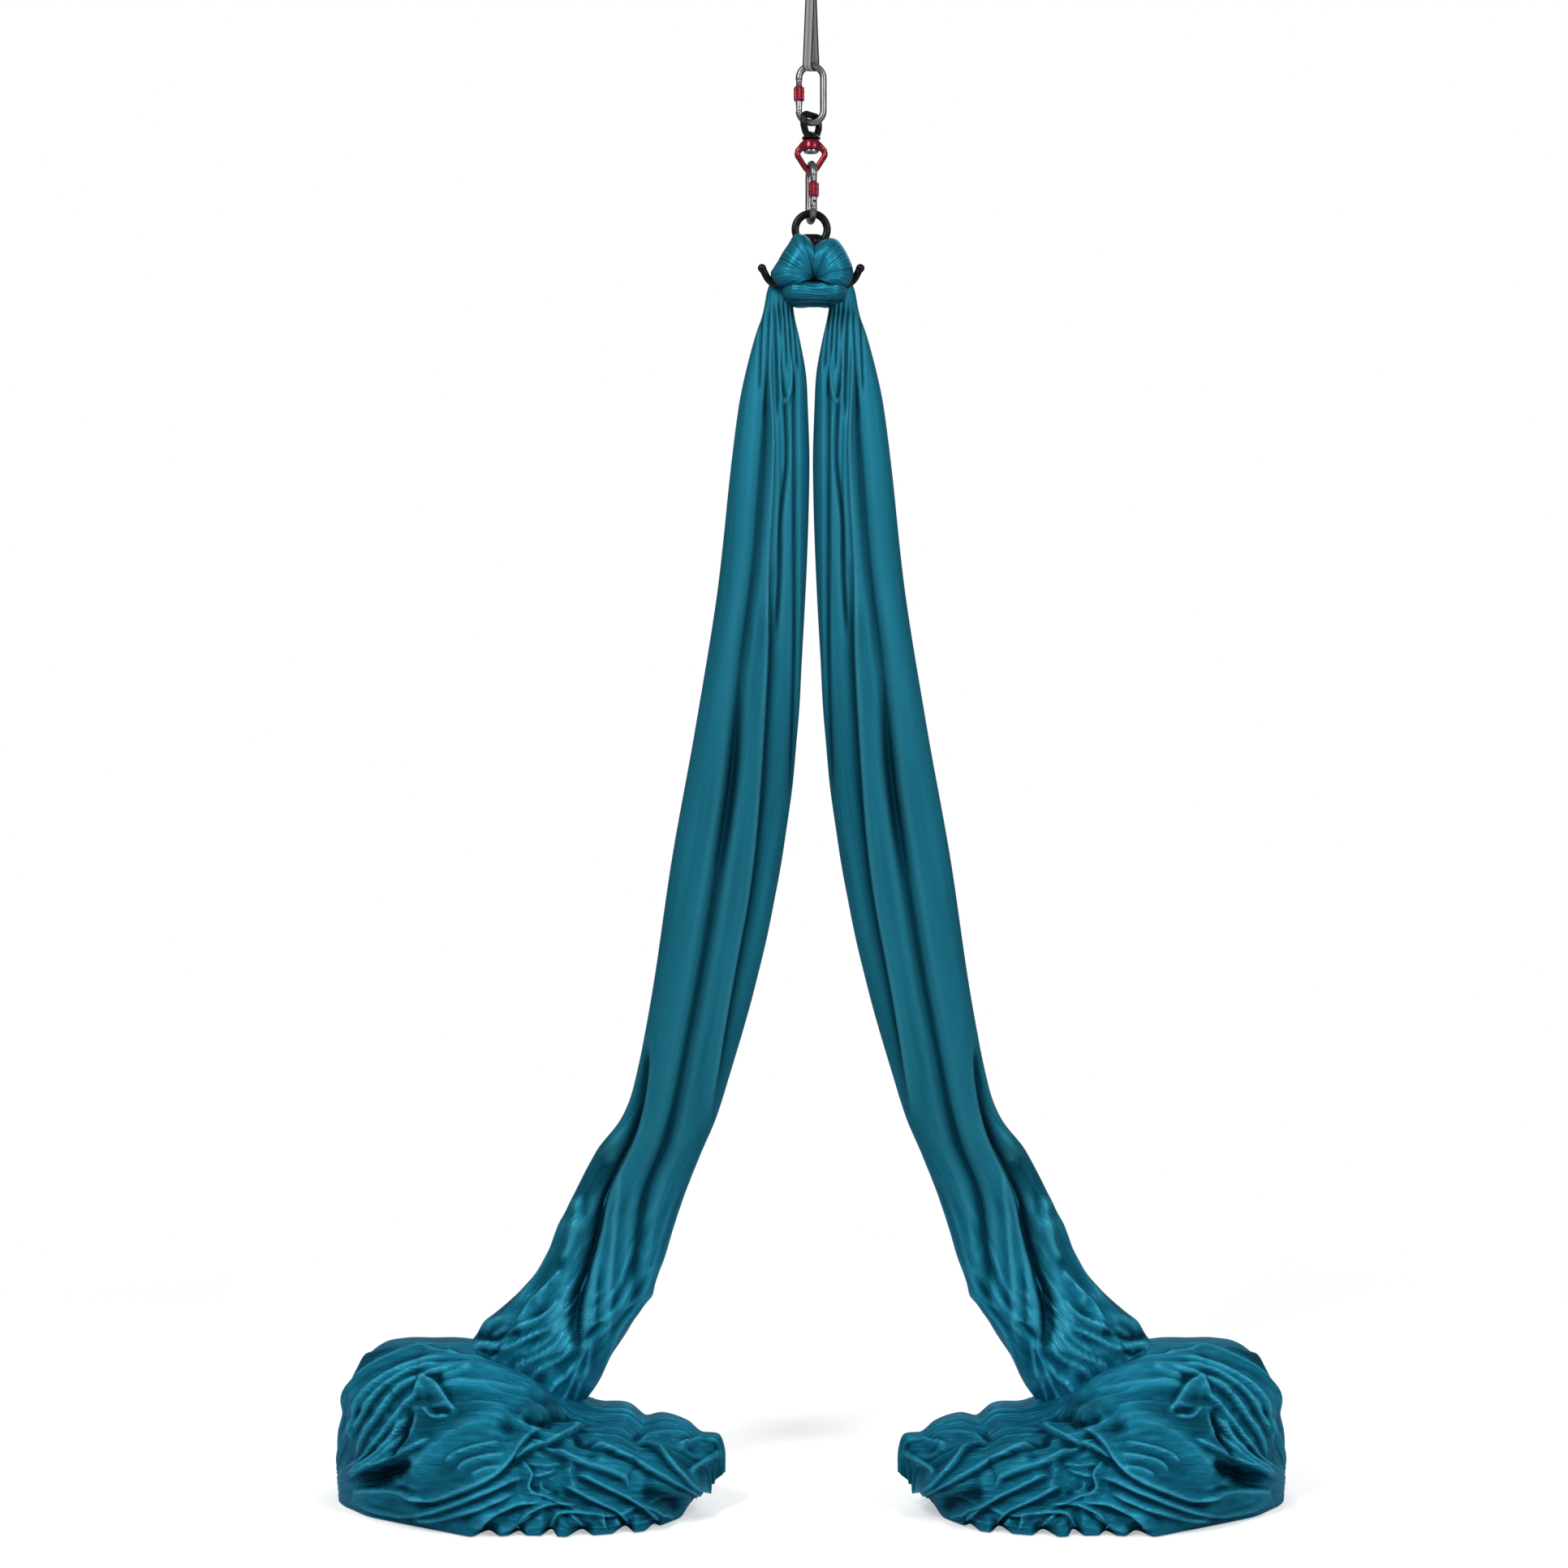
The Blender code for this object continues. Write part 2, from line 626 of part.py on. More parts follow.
EYE_TOP = BAR_RADIUS + LINK_GAP + EYE_BAR_IN_PLANE / 2
EYE_BOTTOM = BAR_RADIUS + LINK_GAP - EYE_HOLE_DEPTH - EYE_BAR_IN_PLANE / 2
FLANGE_BOTTOM = EYE_BOTTOM - EYE_FLANGE_HEIGHT
HEAD_TOP = FLANGE_BOTTOM - SEAT_GAP
HEAD_BOTTOM = HEAD_TOP - HEAD_HEIGHT
BEARING_TOP = HEAD_TOP - HEAD_WEB - SEAT_GAP
BEARING_BOTTOM = BEARING_TOP - BEARING_HEIGHT
NUT_TOP = BEARING_BOTTOM - SEAT_GAP
FLANGE_GAP = 0.0004
NUT_FLANGE_TOP = HEAD_BOTTOM - FLANGE_GAP
NUT_BOTTOM = NUT_FLANGE_TOP - NUT_FLANGE_HEIGHT
SHAFT_RADIUS = SHAFT_DIAMETER / 2
RACE_INNER = SHAFT_RADIUS + SEAT_GAP
RACE_OUTER = HEAD_BORE_DIAMETER / 2 - SEAT_GAP


def swivel_eye(frame):
    outline = (
        (-EYE_TOP_HALF_WIDTH, EYE_TOP), (EYE_TOP_HALF_WIDTH, EYE_TOP),
        (EYE_HALF_WIDTH, -EYE_WIDEST_DEPTH), (EYE_BASE_HALF_WIDTH, EYE_BOTTOM),
        (-EYE_BASE_HALF_WIDTH, EYE_BOTTOM), (-EYE_HALF_WIDTH, -EYE_WIDEST_DEPTH),
    )
    radii = (0.0095, 0.0095, 0.012, 0.008, 0.008, 0.012)
    path = rounded(outline, radii, 4)
    bow = swept(path, oval(EYE_BAR_IN_PLANE / 2, EYE_BAR_ACROSS / 2), closed=True)
    bmesh.ops.rotate(bow, verts=bow.verts, cent=(0, 0, 0), matrix=Matrix.Rotation(EYE_YAW, 3, "Z"))
    eye = solid("swivel_eye", bow, parent=frame)
    flange = EYE_FLANGE_DIAMETER / 2
    bevel = 0.001
    shoulder = 0.0025
    stem = (
        (flange - 0.0042, EYE_BOTTOM), (flange - bevel, FLANGE_BOTTOM + shoulder + bevel),
        (flange, FLANGE_BOTTOM + shoulder), (flange, FLANGE_BOTTOM + bevel),
        (flange - bevel, FLANGE_BOTTOM), (SHAFT_RADIUS, FLANGE_BOTTOM),
        (SHAFT_RADIUS, NUT_BOTTOM + bevel), (SHAFT_RADIUS - bevel / 2, NUT_BOTTOM + bevel / 2),
    )
    combine(eye, turned(stem), "UNION")
    dress(eye, BLACK_ANODISED)


def swivel_body(frame):
    head = HEAD_DIAMETER / 2
    crown = 0.003
    profile = (
        (head - crown - 0.001, HEAD_TOP), (head - crown * 0.3, HEAD_TOP - crown * 0.6),
        (head, HEAD_TOP - crown * 1.6), (head, HEAD_BOTTOM + 0.0015),
        (head - 0.0015, HEAD_BOTTOM),
    )
    body = solid("swivel_body", turned(profile, 24), parent=frame)
    centre = -SWIVEL_REACH
    seat_radius = BAR_RADIUS + LINK_GAP + FRAME_BAR_IN_PLANE / 2
    vertex = centre - seat_radius / math.sin(FRAME_HALF_ANGLE)
    side_height = vertex + FRAME_HALF_WIDTH / math.tan(FRAME_HALF_ANGLE)
    root = (head * 0.82, HEAD_TOP - HEAD_HEIGHT * 0.42)
    corners = (
        (-root[0], root[1]), (-FRAME_HALF_WIDTH, side_height), (0.0, vertex),
        (FRAME_HALF_WIDTH, side_height), root,
    )
    path = rounded(corners, (0.0, 0.008, seat_radius, 0.008, 0.0), 6)
    frame_bar = swept(path, oval(FRAME_BAR_IN_PLANE / 2, FRAME_BAR_ACROSS / 2))
    combine(body, frame_bar, "UNION")
    bore = HEAD_BORE_DIAMETER / 2
    bore_shape = turned(((bore, HEAD_TOP - HEAD_WEB), (bore, HEAD_BOTTOM - 0.0002)), 24)
    combine(body, bore_shape, "DIFFERENCE")
    neck = SHAFT_RADIUS + 0.0008
    combine(body, turned(((neck, HEAD_TOP + 0.001), (neck, HEAD_BOTTOM)), 16), "DIFFERENCE")
    dress(body, RED_ANODISED)


def race(inner, outer, groove_side):
    """A bearing race with a groove on its outer (+1) or inner (-1) side."""
    middle = (BEARING_TOP + BEARING_BOTTOM) / 2
    half_groove = BALL_DIAMETER * 0.35
    slope = BALL_DIAMETER * 0.35
    plain = inner if groove_side > 0 else outer
    shoulder = outer if groove_side > 0 else inner
    groove = shoulder - groove_side * RACE_SHOULDER
    profile = (
        (plain, BEARING_TOP), (shoulder, BEARING_TOP), (shoulder, middle + half_groove + slope),
        (groove, middle + half_groove), (groove, middle - half_groove),
        (shoulder, middle - half_groove - slope), (shoulder, BEARING_BOTTOM),
        (plain, BEARING_BOTTOM),
    )
    return turned(profile, ROUND_STEPS, loop=True)


def bearing(frame_eye, frame_body, frame_balls):
    inner_face = RACE_INNER + RACE_WALL + RACE_SHOULDER
    outer_face = RACE_OUTER - RACE_WALL - RACE_SHOULDER
    solid("bearing_inner_race", race(RACE_INNER, inner_face, 1), STEEL, frame_eye)
    solid("bearing_outer_race", race(outer_face, RACE_OUTER, -1), STEEL, frame_body)
    orbit = (RACE_INNER + RACE_OUTER) / 2
    middle = (BEARING_TOP + BEARING_BOTTOM) / 2
    half_cage = BALL_DIAMETER * 0.2
    ring = (
        (orbit - half_cage, middle - half_cage), (orbit + half_cage, middle - half_cage),
        (orbit + half_cage, middle + half_cage), (orbit - half_cage, middle + half_cage),
    )
    cage = solid("bearing_ball_cage", turned(ring, 2 * BALL_COUNT, loop=True), parent=frame_balls)
    balls = bmesh.new()
    for ball in range(BALL_COUNT):
        angle = 2 * math.pi * ball / BALL_COUNT
        place = Vector((orbit * math.cos(angle), orbit * math.sin(angle), middle))
        bmesh.ops.create_uvsphere(
            balls, u_segments=8, v_segments=5, radius=BALL_DIAMETER / 2,
            matrix=Matrix.Translation(place),
        )
    combine(cage, balls, "UNION")
    dress(cage, STEEL)


def swivel_nut(frame):
    bore = SHAFT_RADIUS + SEAT_GAP
    hub = NUT_HUB_DIAMETER / 2
    flange = NUT_FLANGE_DIAMETER / 2
    bevel = 0.0008
    profile = (
        (bore, NUT_TOP), (hub, NUT_TOP), (hub, NUT_FLANGE_TOP), (flange, NUT_FLANGE_TOP),
        (flange, NUT_BOTTOM + bevel), (flange - bevel, NUT_BOTTOM), (bore, NUT_BOTTOM),
    )
    solid("swivel_nut", turned(profile, loop=True), DARK_STEEL, frame)


# Rescue figure-eight. Its frame starts at the small ring's top bar.


def eight_parts(grow):
    """The rings, neck and ears, each grown outward by a margin."""
    small = (0.0, -SMALL_RING_RADIUS)
    big = (0.0, BIG_RING_CENTRE - EIGHT_PIVOT)
    section = oval(RING_BAR_IN_PLANE / 2 + grow, RING_BAR_ACROSS / 2 + grow)
    parts = []
    for centre, radius in ((small, SMALL_RING_RADIUS), (big, BIG_RING_RADIUS)):
        parts.append(swept(arc(centre, radius, 90, 450, 28)[:-1], section, closed=True))
    neck_top = small[1] - NECK_TOP_DEPTH + grow
    neck_low = big[1] + BIG_RING_RADIUS - grow
    chord = math.sqrt((SMALL_RING_HOLE / 2) ** 2 - NECK_TOP_DEPTH**2)
    widths = (
        (0.0, chord + 0.003), (0.35, chord * 0.85), (0.62, NECK_HALF_WIDTH),
        (0.85, NECK_HALF_WIDTH), (1.0, NECK_HALF_WIDTH * 1.25),
    )
    rows = []
    for share, half_width in widths:
        height = neck_top + (neck_low - neck_top) * share
        rows.append([
            Vector((across, deep, height))
            for across, deep in oval(half_width + grow, RING_BAR_ACROSS / 2 * 0.94 + grow, 12)
        ])
    parts.append(skin(rows))
    ear = oval(EAR_BAR_DIAMETER / 2 + grow, EAR_BAR_DIAMETER / 2 + grow, 8)
    for side in (1, -1):
        root = (side * (BIG_RING_RADIUS + 0.001), big[1] - 0.005)
        elbow = (side * EAR_REACH, big[1] - 0.009)
        tip = (side * (EAR_REACH + 0.003), big[1] + EAR_RISE + grow)
        parts.append(swept(rounded((root, elbow, tip), (0.0, 0.017, 0.0), 5), ear))
    return parts


def rescue_eight(frame):
    parts = eight_parts(0.0)
    eight = solid("rescue_eight", parts[0], parent=frame)
    for part in parts[1:]:
        combine(eight, part, "UNION")
    dress(eight, BLACK_ANODISED)


# Silk


def fluted(angle, count, depth, lead=0.0):
    """A share of the radius that dips into soft folds."""
    return 1.0 - depth * (0.5 + 0.5 * math.cos(count * angle + lead))


def silk_knot(frame):
    """The silk tied round the figure-eight: two fanned lobes over a flat front roll."""
    stations = (
        (0.00, 0.030, 0.014), (0.10, 0.040, 0.024), (0.35, 0.056, 0.036),
        (0.60, KNOT_HALF_WIDTH, 0.042), (0.80, KNOT_HALF_WIDTH, KNOT_HALF_DEPTH),
        (0.93, 0.061, 0.038), (1.00, 0.048, 0.024),
    )
    rows = []
    for level in range(KNOT_ROWS + 1):
        share = level / KNOT_ROWS
        half_width, half_depth = smooth_between(stations, share)
        height = KNOT_TOP - KNOT_HEIGHT * share - EIGHT_PIVOT
        cleft = 0.30 * math.sin(math.pi * min(share / 0.75, 1.0))
        row = []
        for side in range(KNOT_SIDES):
            angle = 2 * math.pi * side / KNOT_SIDES
            pleat = fluted(angle, 12, 0.07)
            fold = 1.0 - cleft * math.exp(-(((angle - 1.5 * math.pi) / 0.28) ** 2))
            row.append(Vector((
                half_width * pleat * math.copysign(abs(math.cos(angle)) ** 0.8, math.cos(angle)),
                half_depth * pleat * fold
                * math.copysign(abs(math.sin(angle)) ** 0.8, math.sin(angle)),
                height,
            )))
        rows.append(row)
    knot = solid("silk_knot", skin(rows), parent=frame)
    for part in eight_parts(SILK_CLEARANCE):
        combine(knot, part, "DIFFERENCE")
    room = TAIL_TOP_RADIUS + TAIL_SWING_GAP + KNOT_WELL_ROOM
    reach = KNOT_HALF_DEPTH + JOIN_OVERLAP
    front = TAIL_TOP_BACK - TAIL_TOP_HALF_DEPTH - TAIL_SWING_GAP
    for side in (1, -1):
        well = cross_pin(room, reach, (side * TAIL_PIVOT_OFFSET, TAIL_PIVOT - EIGHT_PIVOT), 24)
        bmesh.ops.translate(well, verts=well.verts, vec=(0.0, front + reach, 0.0))
        combine(knot, well, "DIFFERENCE")
        drop = box(
            (-room, front, TAIL_PIVOT - EIGHT_PIVOT - KNOT_HEIGHT),
            (room, front + 2 * reach, TAIL_PIVOT - EIGHT_PIVOT),
        )
        bmesh.ops.translate(drop, verts=drop.verts, vec=(side * TAIL_PIVOT_OFFSET, 0.0, 0.0))
        combine(knot, drop, "DIFFERENCE")
    dress(knot, TEAL_SILK)


def tail_rings(side, grow):
    """Rings of a hanging tail with soft flutes, rounded about its pivot at the top."""
    drop = TAIL_PIVOT - TAIL_FOOT - SEAT_GAP
    rows = []
    for level in range(CAP_ROWS):
        lift = math.radians(90 * (1 - (level + 0.35) / CAP_ROWS))
        rows.append((TAIL_TOP_RADIUS * math.sin(lift), 0.0, math.cos(lift)))
    rows.append((0.0, 0.0, 1.0))
    straight = TAIL_STATIONS[1][0]
    for level in range(TAIL_ROWS):
        share = straight + (1.0 - straight) * level / (TAIL_ROWS - 1)
        rows.append((-drop * share, share, 1.0))
    rings = []
    for height, share, shrink in rows:
        lead, half_width, deep, half_depth = smooth_between(TAIL_STATIONS, share)
        depth = TAIL_FLUTE_DEPTH * min(1.0, share / 0.1)
        ring = []
        for index in range(TAIL_SIDES):
            angle = 2 * math.pi * index / TAIL_SIDES
            fold = fluted(angle, TAIL_FLUTES, depth, share * 2.0)
            across = (half_width * shrink + grow) * fold * math.cos(angle)
            through = (half_depth * (0.6 + 0.4 * shrink) + grow) * fold * math.sin(angle)
            ring.append(Vector((side * (lead + across), deep + through, height)))
        rings.append(ring)
    return rings


def silk_tail(name, side, frame):
    solid(name, skin(tail_rings(side, 0.0)), TEAL_SILK, frame)


def silk_heap(name, side, frame):
    """The tail's end, heaped on the floor, with a socket where the tail comes down into it."""
    ground = FLOOR - TAIL_PIVOT
    rings = []
    for out, height, top, front, back, lean in HEAP_STATIONS:
        ring = []
        for index in range(HEAP_SIDES + 1):
            angle = math.pi * index / HEAP_SIDES
            edge = front if math.cos(angle) > 0 else back
            rise = height * math.sin(angle) ** HEAP_FULLNESS if 0 < index < HEAP_SIDES else 0.0
            ring.append(Vector((
                side * (out + lean * (1 - rise / height)),
                top + (edge - top) * abs(math.cos(angle)) ** HEAP_FULLNESS,
                ground + rise,
            )))
        rings.append(ring)
    heap = solid(name, skin(rings), parent=frame)
    socket = tail_rings(side, TAIL_SOCKET_ROOM)
    for point in socket[-1]:
        point.z -= SEAT_GAP
    combine(heap, skin(socket), "DIFFERENCE")
    dress(heap, TEAL_SILK)


def build():
    clear_scene()
    sling_webbing()
    upper = pivot("upper_carabiner_pivot", (0.0, 0.0, UPPER_TOP))
    carabiner("upper", upper)
    eye_frame = pivot("swivel_eye_pivot", (0.0, 0.0, UPPER_BOTTOM))
    body_frame = pivot("swivel_body_pivot", (0.0, 0.0, UPPER_BOTTOM))
    ball_frame = pivot("bearing_balls_pivot", (0.0, 0.0, UPPER_BOTTOM))
    swivel_eye(eye_frame)
    swivel_body(body_frame)
    bearing(eye_frame, body_frame, ball_frame)
    swivel_nut(eye_frame)
    lower = pivot("lower_carabiner_pivot", (0.0, 0.0, LOWER_TOP), yaw=LOWER_CARABINER_YAW)
    carabiner("lower", lower)
    eight = pivot("rescue_eight_pivot", (0.0, 0.0, EIGHT_PIVOT))
    rescue_eight(eight)
    silk_knot(eight)
    for name, side in (("left", -1), ("right", 1)):
        frame = pivot(f"{name}_tail_pivot", (side * TAIL_PIVOT_OFFSET, 0.0, TAIL_PIVOT))
        silk_tail(f"silk_{name}_tail", side, frame)
        silk_heap(f"silk_{name}_heap", side, frame)


build()
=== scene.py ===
# Looks of the aerial silk rig: webbing sling, carabiners, swivel, figure-eight and teal silk.
# Metres, +Z up, in the frame's own coordinates. The camera stands at -Y and looks along +Y.

import json
import math

import bpy
import numpy as np
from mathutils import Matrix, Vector


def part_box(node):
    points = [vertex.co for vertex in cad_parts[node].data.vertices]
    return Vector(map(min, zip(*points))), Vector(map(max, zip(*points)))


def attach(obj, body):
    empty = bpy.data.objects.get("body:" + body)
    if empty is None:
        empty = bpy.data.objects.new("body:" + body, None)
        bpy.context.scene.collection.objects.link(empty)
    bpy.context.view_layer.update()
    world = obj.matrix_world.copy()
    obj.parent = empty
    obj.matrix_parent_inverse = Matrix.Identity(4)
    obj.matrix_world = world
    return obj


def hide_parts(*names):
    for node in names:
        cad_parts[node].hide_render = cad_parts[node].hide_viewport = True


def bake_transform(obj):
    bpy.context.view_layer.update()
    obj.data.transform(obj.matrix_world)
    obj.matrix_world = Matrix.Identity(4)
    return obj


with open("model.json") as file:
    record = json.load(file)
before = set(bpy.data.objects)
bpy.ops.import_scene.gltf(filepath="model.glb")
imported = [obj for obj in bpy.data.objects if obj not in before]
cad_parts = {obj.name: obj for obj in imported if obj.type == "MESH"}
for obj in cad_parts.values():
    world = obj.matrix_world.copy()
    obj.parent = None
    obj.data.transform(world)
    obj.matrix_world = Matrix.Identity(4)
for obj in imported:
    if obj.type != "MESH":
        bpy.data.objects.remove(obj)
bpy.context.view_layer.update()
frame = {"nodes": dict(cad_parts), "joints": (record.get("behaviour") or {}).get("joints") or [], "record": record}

# Photograph's framing
PHOTO_SIDE_PX = 1932
METRES_PER_PX = 0.00135
RIG_LINE_PX = 999.5
SLING_TOP_ROW_PX = -51.85
CAMERA_DISTANCE = 4.5
SENSOR = 36.0

# White world and floor
WORLD_FILL = 0.36
FLOOR_RADIUS = 14.0
FLOOR_DROP = 0.0005
FLOOR_GREY = 0.86
FLOOR_GLOW = 0.42
FLOOR_FADE_START = 0.9
FLOOR_FADE_END = 2.6

# Places and finishes taken from the frame
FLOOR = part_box("silk_left_heap")[0].z
JOINT_PLACE = {joint["child"]: Vector(joint["pos_m"]) for joint in frame["joints"] if "pos_m" in joint}
SLOTS = {entry["node"]: entry["material_slot"] for entry in frame["record"]["subparts"]}

# Silk, laid flat: its width
CLOTH_WIDTH = 1.5

# Grids of the cloth's points
SECTION_SAMPLES = 900
TAIL_ROWS = 300
OUTSIDE_COLUMNS = 230
INSIDE_COLUMNS = 100
HEAP_ROWS = 366
HEAP_FRONT_COLUMNS = 212
HEAP_BACK_COLUMNS = 44
HEAP_UNDER_COLUMNS = 6

# Tail: its section is open by so many degrees each side of its back, where the cloth turns in and
# goes on in wavy turns; how deep a pleat may go in, and how far it wanders round
BACK_OPENING = 9.0
INNER_TURN = 780.0
INNER_REACH = (0.22, 0.30, 0.36)
INNER_WAVES = 26
INNER_WAVE = 0.40
DEEPEST_PLEAT = 0.7
PLEAT_WANDER = math.radians(3.0)

# Heap: the cloth's two side edges lie along a slit in its flat underside, and no fold reaches the
# floor. The photograph shows what faces it, and the same folds mirrored stand in for the back.
FLOOR_CLEARANCE = 0.0015
HEAP_FULLNESS = 0.8
HEAP_LEAST_HEIGHT = 0.004
UNDER_SLIT = 0.2
UNDER_SLIT_HALF = 0.004
SMOOTH_FOOT = 0.02
HEAP_FRONT_ROW_PX = 1895
HEAP_BACK_MIRROR = 930
BROW_SHIFT = 0.03
BROW_RUN = 0.05
BACK_RUN = 0.45
BACK_FULL_HEIGHT = 0.26

# How far the cloth has to face a side, as a share, before its folds count in full there
FACING = 0.35

# Wrinkles: where along a tail they start and over what length, and how high each kind is
CRUMPLE_START = 1.45
CRUMPLE_RUN = 0.35
TAIL_RIPPLE = 0.0016
TAIL_CREASE = 0.0028
TAIL_GRAIN = 0.0008
HEAP_SWELL = 0.0050
HEAP_CREASE = 0.0030
HEAP_GRAIN = 0.0010

# A fold fades at its ends over so many times its height or width, within two shares of its length
FADE_HEIGHTS = 1.8
FADE_WIDTHS = 0.8
FADE_LEAST = 0.16
FADE_MOST = 0.5
SLOW_SIDE_CURVE = 1.5
SHADE_SLOW_SIDE = 1.4

# Fields that the cloth's material reads, and what makes the painted shade in a hollow and the
# painted highlight on a crest: the neighbours looked at in steps of the grid, and the heights in
# metres that count in full
CLOTH_FIELDS = ("painted_shade", "painted_highlight", "crumple", "satin")
RIM_STEPS = 2
FINE_STEPS = 5
BROAD_STEPS = 22
FINE_FOLD = 0.0035
BROAD_FOLD = 0.012
RIM_SHARE = 0.45
SHADE_ON_CREST = 0.7

# Knot: the point where its creases meet, and each lobe's outline as angles round that point in
# degrees with the reach in metres
KNOT_CENTRE = (0.0047, -0.5398)
KNOT_CRUMPLE = 0.15
LEFT_LOBE = (
    (82, 0.040), (92, 0.060), (99, 0.0727), (106, 0.0800), (113, 0.0827), (127, 0.0732),
    (149, 0.0683), (163, 0.0705), (171, 0.0728), (183, 0.0650), (200, 0.0460),
)
RIGHT_LOBE = (
    (-22, 0.0440), (-5, 0.0590), (5, 0.0647), (15, 0.0668), (31, 0.0683), (47, 0.0725),
    (60, 0.0774), (69, 0.0751), (80, 0.0653), (90, 0.0560), (100, 0.0400),
)

# Lobe: how far it bulges to the front and back of its middle, its pleats as count, lean and height,
# the reach of the painted shade round its gathered point, and the cloth it takes up on its map
LOBE_ROWS = 170
LOBE_COLUMNS = 110
LOBE_MIDDLE = 0.012
LOBE_FRONT = 0.018
LOBE_BULGE = 0.026
LOBE_BACK = 0.050
LOBE_EDGE_SINK = 0.016
LOBE_PLEATS = ((3.0, 0.6, 0.0030), (13.0, 1.2, 0.0008), (31.0, 0.8, 0.0003))
LOBE_SHADE_RADIUS = 0.011
LOBE_SPAN = 0.13
LOBE_DEPTH_SPAN = 0.075
LOBE_SHADING = (0.0009, 0.004)
LOBE_SATIN = 0.45

# Roll below the lobes: pinched and dipped at the knot's centre, with fine ridges along it
ROLL_ROWS = 130
ROLL_COLUMNS = 110
ROLL_LEFT = -0.0480
ROLL_RIGHT = 0.0590
ROLL_HEIGHT = -0.5537
ROLL_SAG = 0.0035
ROLL_HALF_HEIGHT = 0.0212
ROLL_HALF_DEPTH = 0.0190
ROLL_DEPTH = -0.0240
ROLL_END_DEPTH = 0.020
ROLL_PINCH = 0.15
ROLL_PINCH_WIDTH = 0.015
# Width of the painted shade in the V at the roll's top middle
ROLL_NOTCH_SHADE_WIDTH = 0.022
ROLL_DIP = 0.005
ROLL_RIDGE = 0.0009
ROLL_FINE_RIDGE = 0.0003
ROLL_MAP_RADIUS = 0.022
ROLL_SPAN = 0.11
ROLL_SHADING = (0.0006, 0.003)
ROLL_SATIN = 0.5

# Core of the knot
CORE_ROWS = 24
CORE_COLUMNS = 48
CORE_HALF = (0.046, 0.024, 0.031)
CORE_HEIGHT = -0.5500
CORE_MAP_RADII = (0.022, 0.02)
# Painted shade darkening the whole core
CORE_PAINTED_SHADE = 0.75

# Hardware, in metres. An angle whose name ends in SMOOTH is in degrees: two faces that meet at less
# than it are shaded as one.
ROD_SIDES = 28
TURNED_SIDES = 48
BEND_STEP = math.radians(7)
SHORTEST_RUN = 0.00002
OVERLAP = 0.001

# Carabiner's bar, drawn from its top bar's centre with the gate at -X
CARABINERS = (("upper", 0.0), ("lower", math.radians(101)))
BAR_RADIUS = 0.00575
BAR_EDGE = 0.0007
BAR_SMOOTH = 35
CORNER_RADIUS = 0.02025
SIDE_LENGTH = 0.054
TOP_CORNER = -CORNER_RADIUS
LOW_CORNER = TOP_CORNER - SIDE_LENGTH
HINGE_HEIGHT = -0.06925
HINGE_GAP = 0.0004
NOSE_HEIGHT = TOP_CORNER - 0.003
TONGUE_HALF = 0.0021
TONGUE_REACH = 0.0044
LATCH_DEPTH = 0.0084
LATCH_BACK = 0.0046
LATCH_FRONT = 0.0025
LATCH_PIN_DEPTH = 0.0050
PIN_HOLE_RADIUS = 0.0017

# Gate, drawn from its hinge pin up: forks round the tongue and the latch, a bore and a thread
GATE_TOP = 0.0455
GATE_EDGE = 0.0006
GATE_SIDES = 32
GATE_SMOOTH = 28
FORK_GAP = 0.0004
FORK_HALF = TONGUE_HALF + FORK_GAP
FORK_FLOOR = 0.0048
LATCH_FLOOR = GATE_TOP - 0.0089
GATE_BORE_RADIUS = 0.0034
GATE_BORE_TOP = LATCH_FLOOR - 0.0030
THREAD_START = 0.0300
THREAD_COUNT = 11
THREAD_PITCH = 0.0012
THREAD_DEPTH = 0.0004
THREAD_FLOOR = (0.35, 0.65)

# Screw sleeve, drawn from the hinge pin too
SLEEVE_BORE = BAR_RADIUS + 0.0003
SLEEVE_RADIUS = 0.0087
SLEEVE_LENGTH = 0.025
SLEEVE_LOW = 0.010
SLEEVE_HIGH = SLEEVE_LOW + SLEEVE_LENGTH
SLEEVE_CHAMFER = 0.0022
SLEEVE_LIP = 0.0002
KNURL_COLUMNS = 36
KNURL_ROWS = 9
KNURL_HEIGHT = 0.0004
KNURL_MARGIN = 0.0006
KNURL_SMOOTH = 15

# Swivel, drawn from the upper carabiner's bottom bar down. A profile is radii and heights.
EYE_YAW = math.radians(50)
EYE_OUTLINE = (
    (0.0, 0.01245), (0.0186, 0.01245), (0.0200, -0.0060), (0.0135, -0.02050), (-0.0135, -0.02050),
    (-0.0200, -0.0060), (-0.0186, 0.01245), (0.0, 0.01245),
)
EYE_CORNERS = (0.0092, 0.012, 0.008, 0.008, 0.012, 0.0092)
EYE_HALF_IN = 0.0058
EYE_HALF_ACROSS = 0.0057
EYE_STEM = (
    (0.0001, -0.0205), (0.0105, -0.0205), (0.0125, -0.0222), (0.0147, -0.0243), (0.0157, -0.0253),
    (0.0157, -0.0269), (0.0148, -0.0278), (0.0067, -0.0278), (0.0067, -0.0489), (0.0061, -0.0495),
    (0.0001, -0.0495),
)
HEAD_PROFILE = (
    (0.0001, -0.0282), (0.0085, -0.0282), (0.0120, -0.0287), (0.0143, -0.0300), (0.0160, -0.0326),
    (0.0171, -0.0370), (0.0178, -0.0420), (0.0176, -0.0444), (0.0166, -0.0457), (0.0001, -0.0457),
)
FRAME_LINE = (
    (-0.0135, -0.0355), (-0.0245, -0.0520), (0.0, -0.08974), (0.0245, -0.0520), (0.0135, -0.0355),
)
FRAME_CORNERS = (0.008, 0.01135, 0.008)
FRAME_HALF_IN = 0.0050
FRAME_HALF_ACROSS = 0.0060
SHOULDER = ((0.0078, -0.0316), (0.0230, -0.0486))
SHOULDER_HALF = 0.0056
SHOULDER_ROOT_HALF = 0.0135
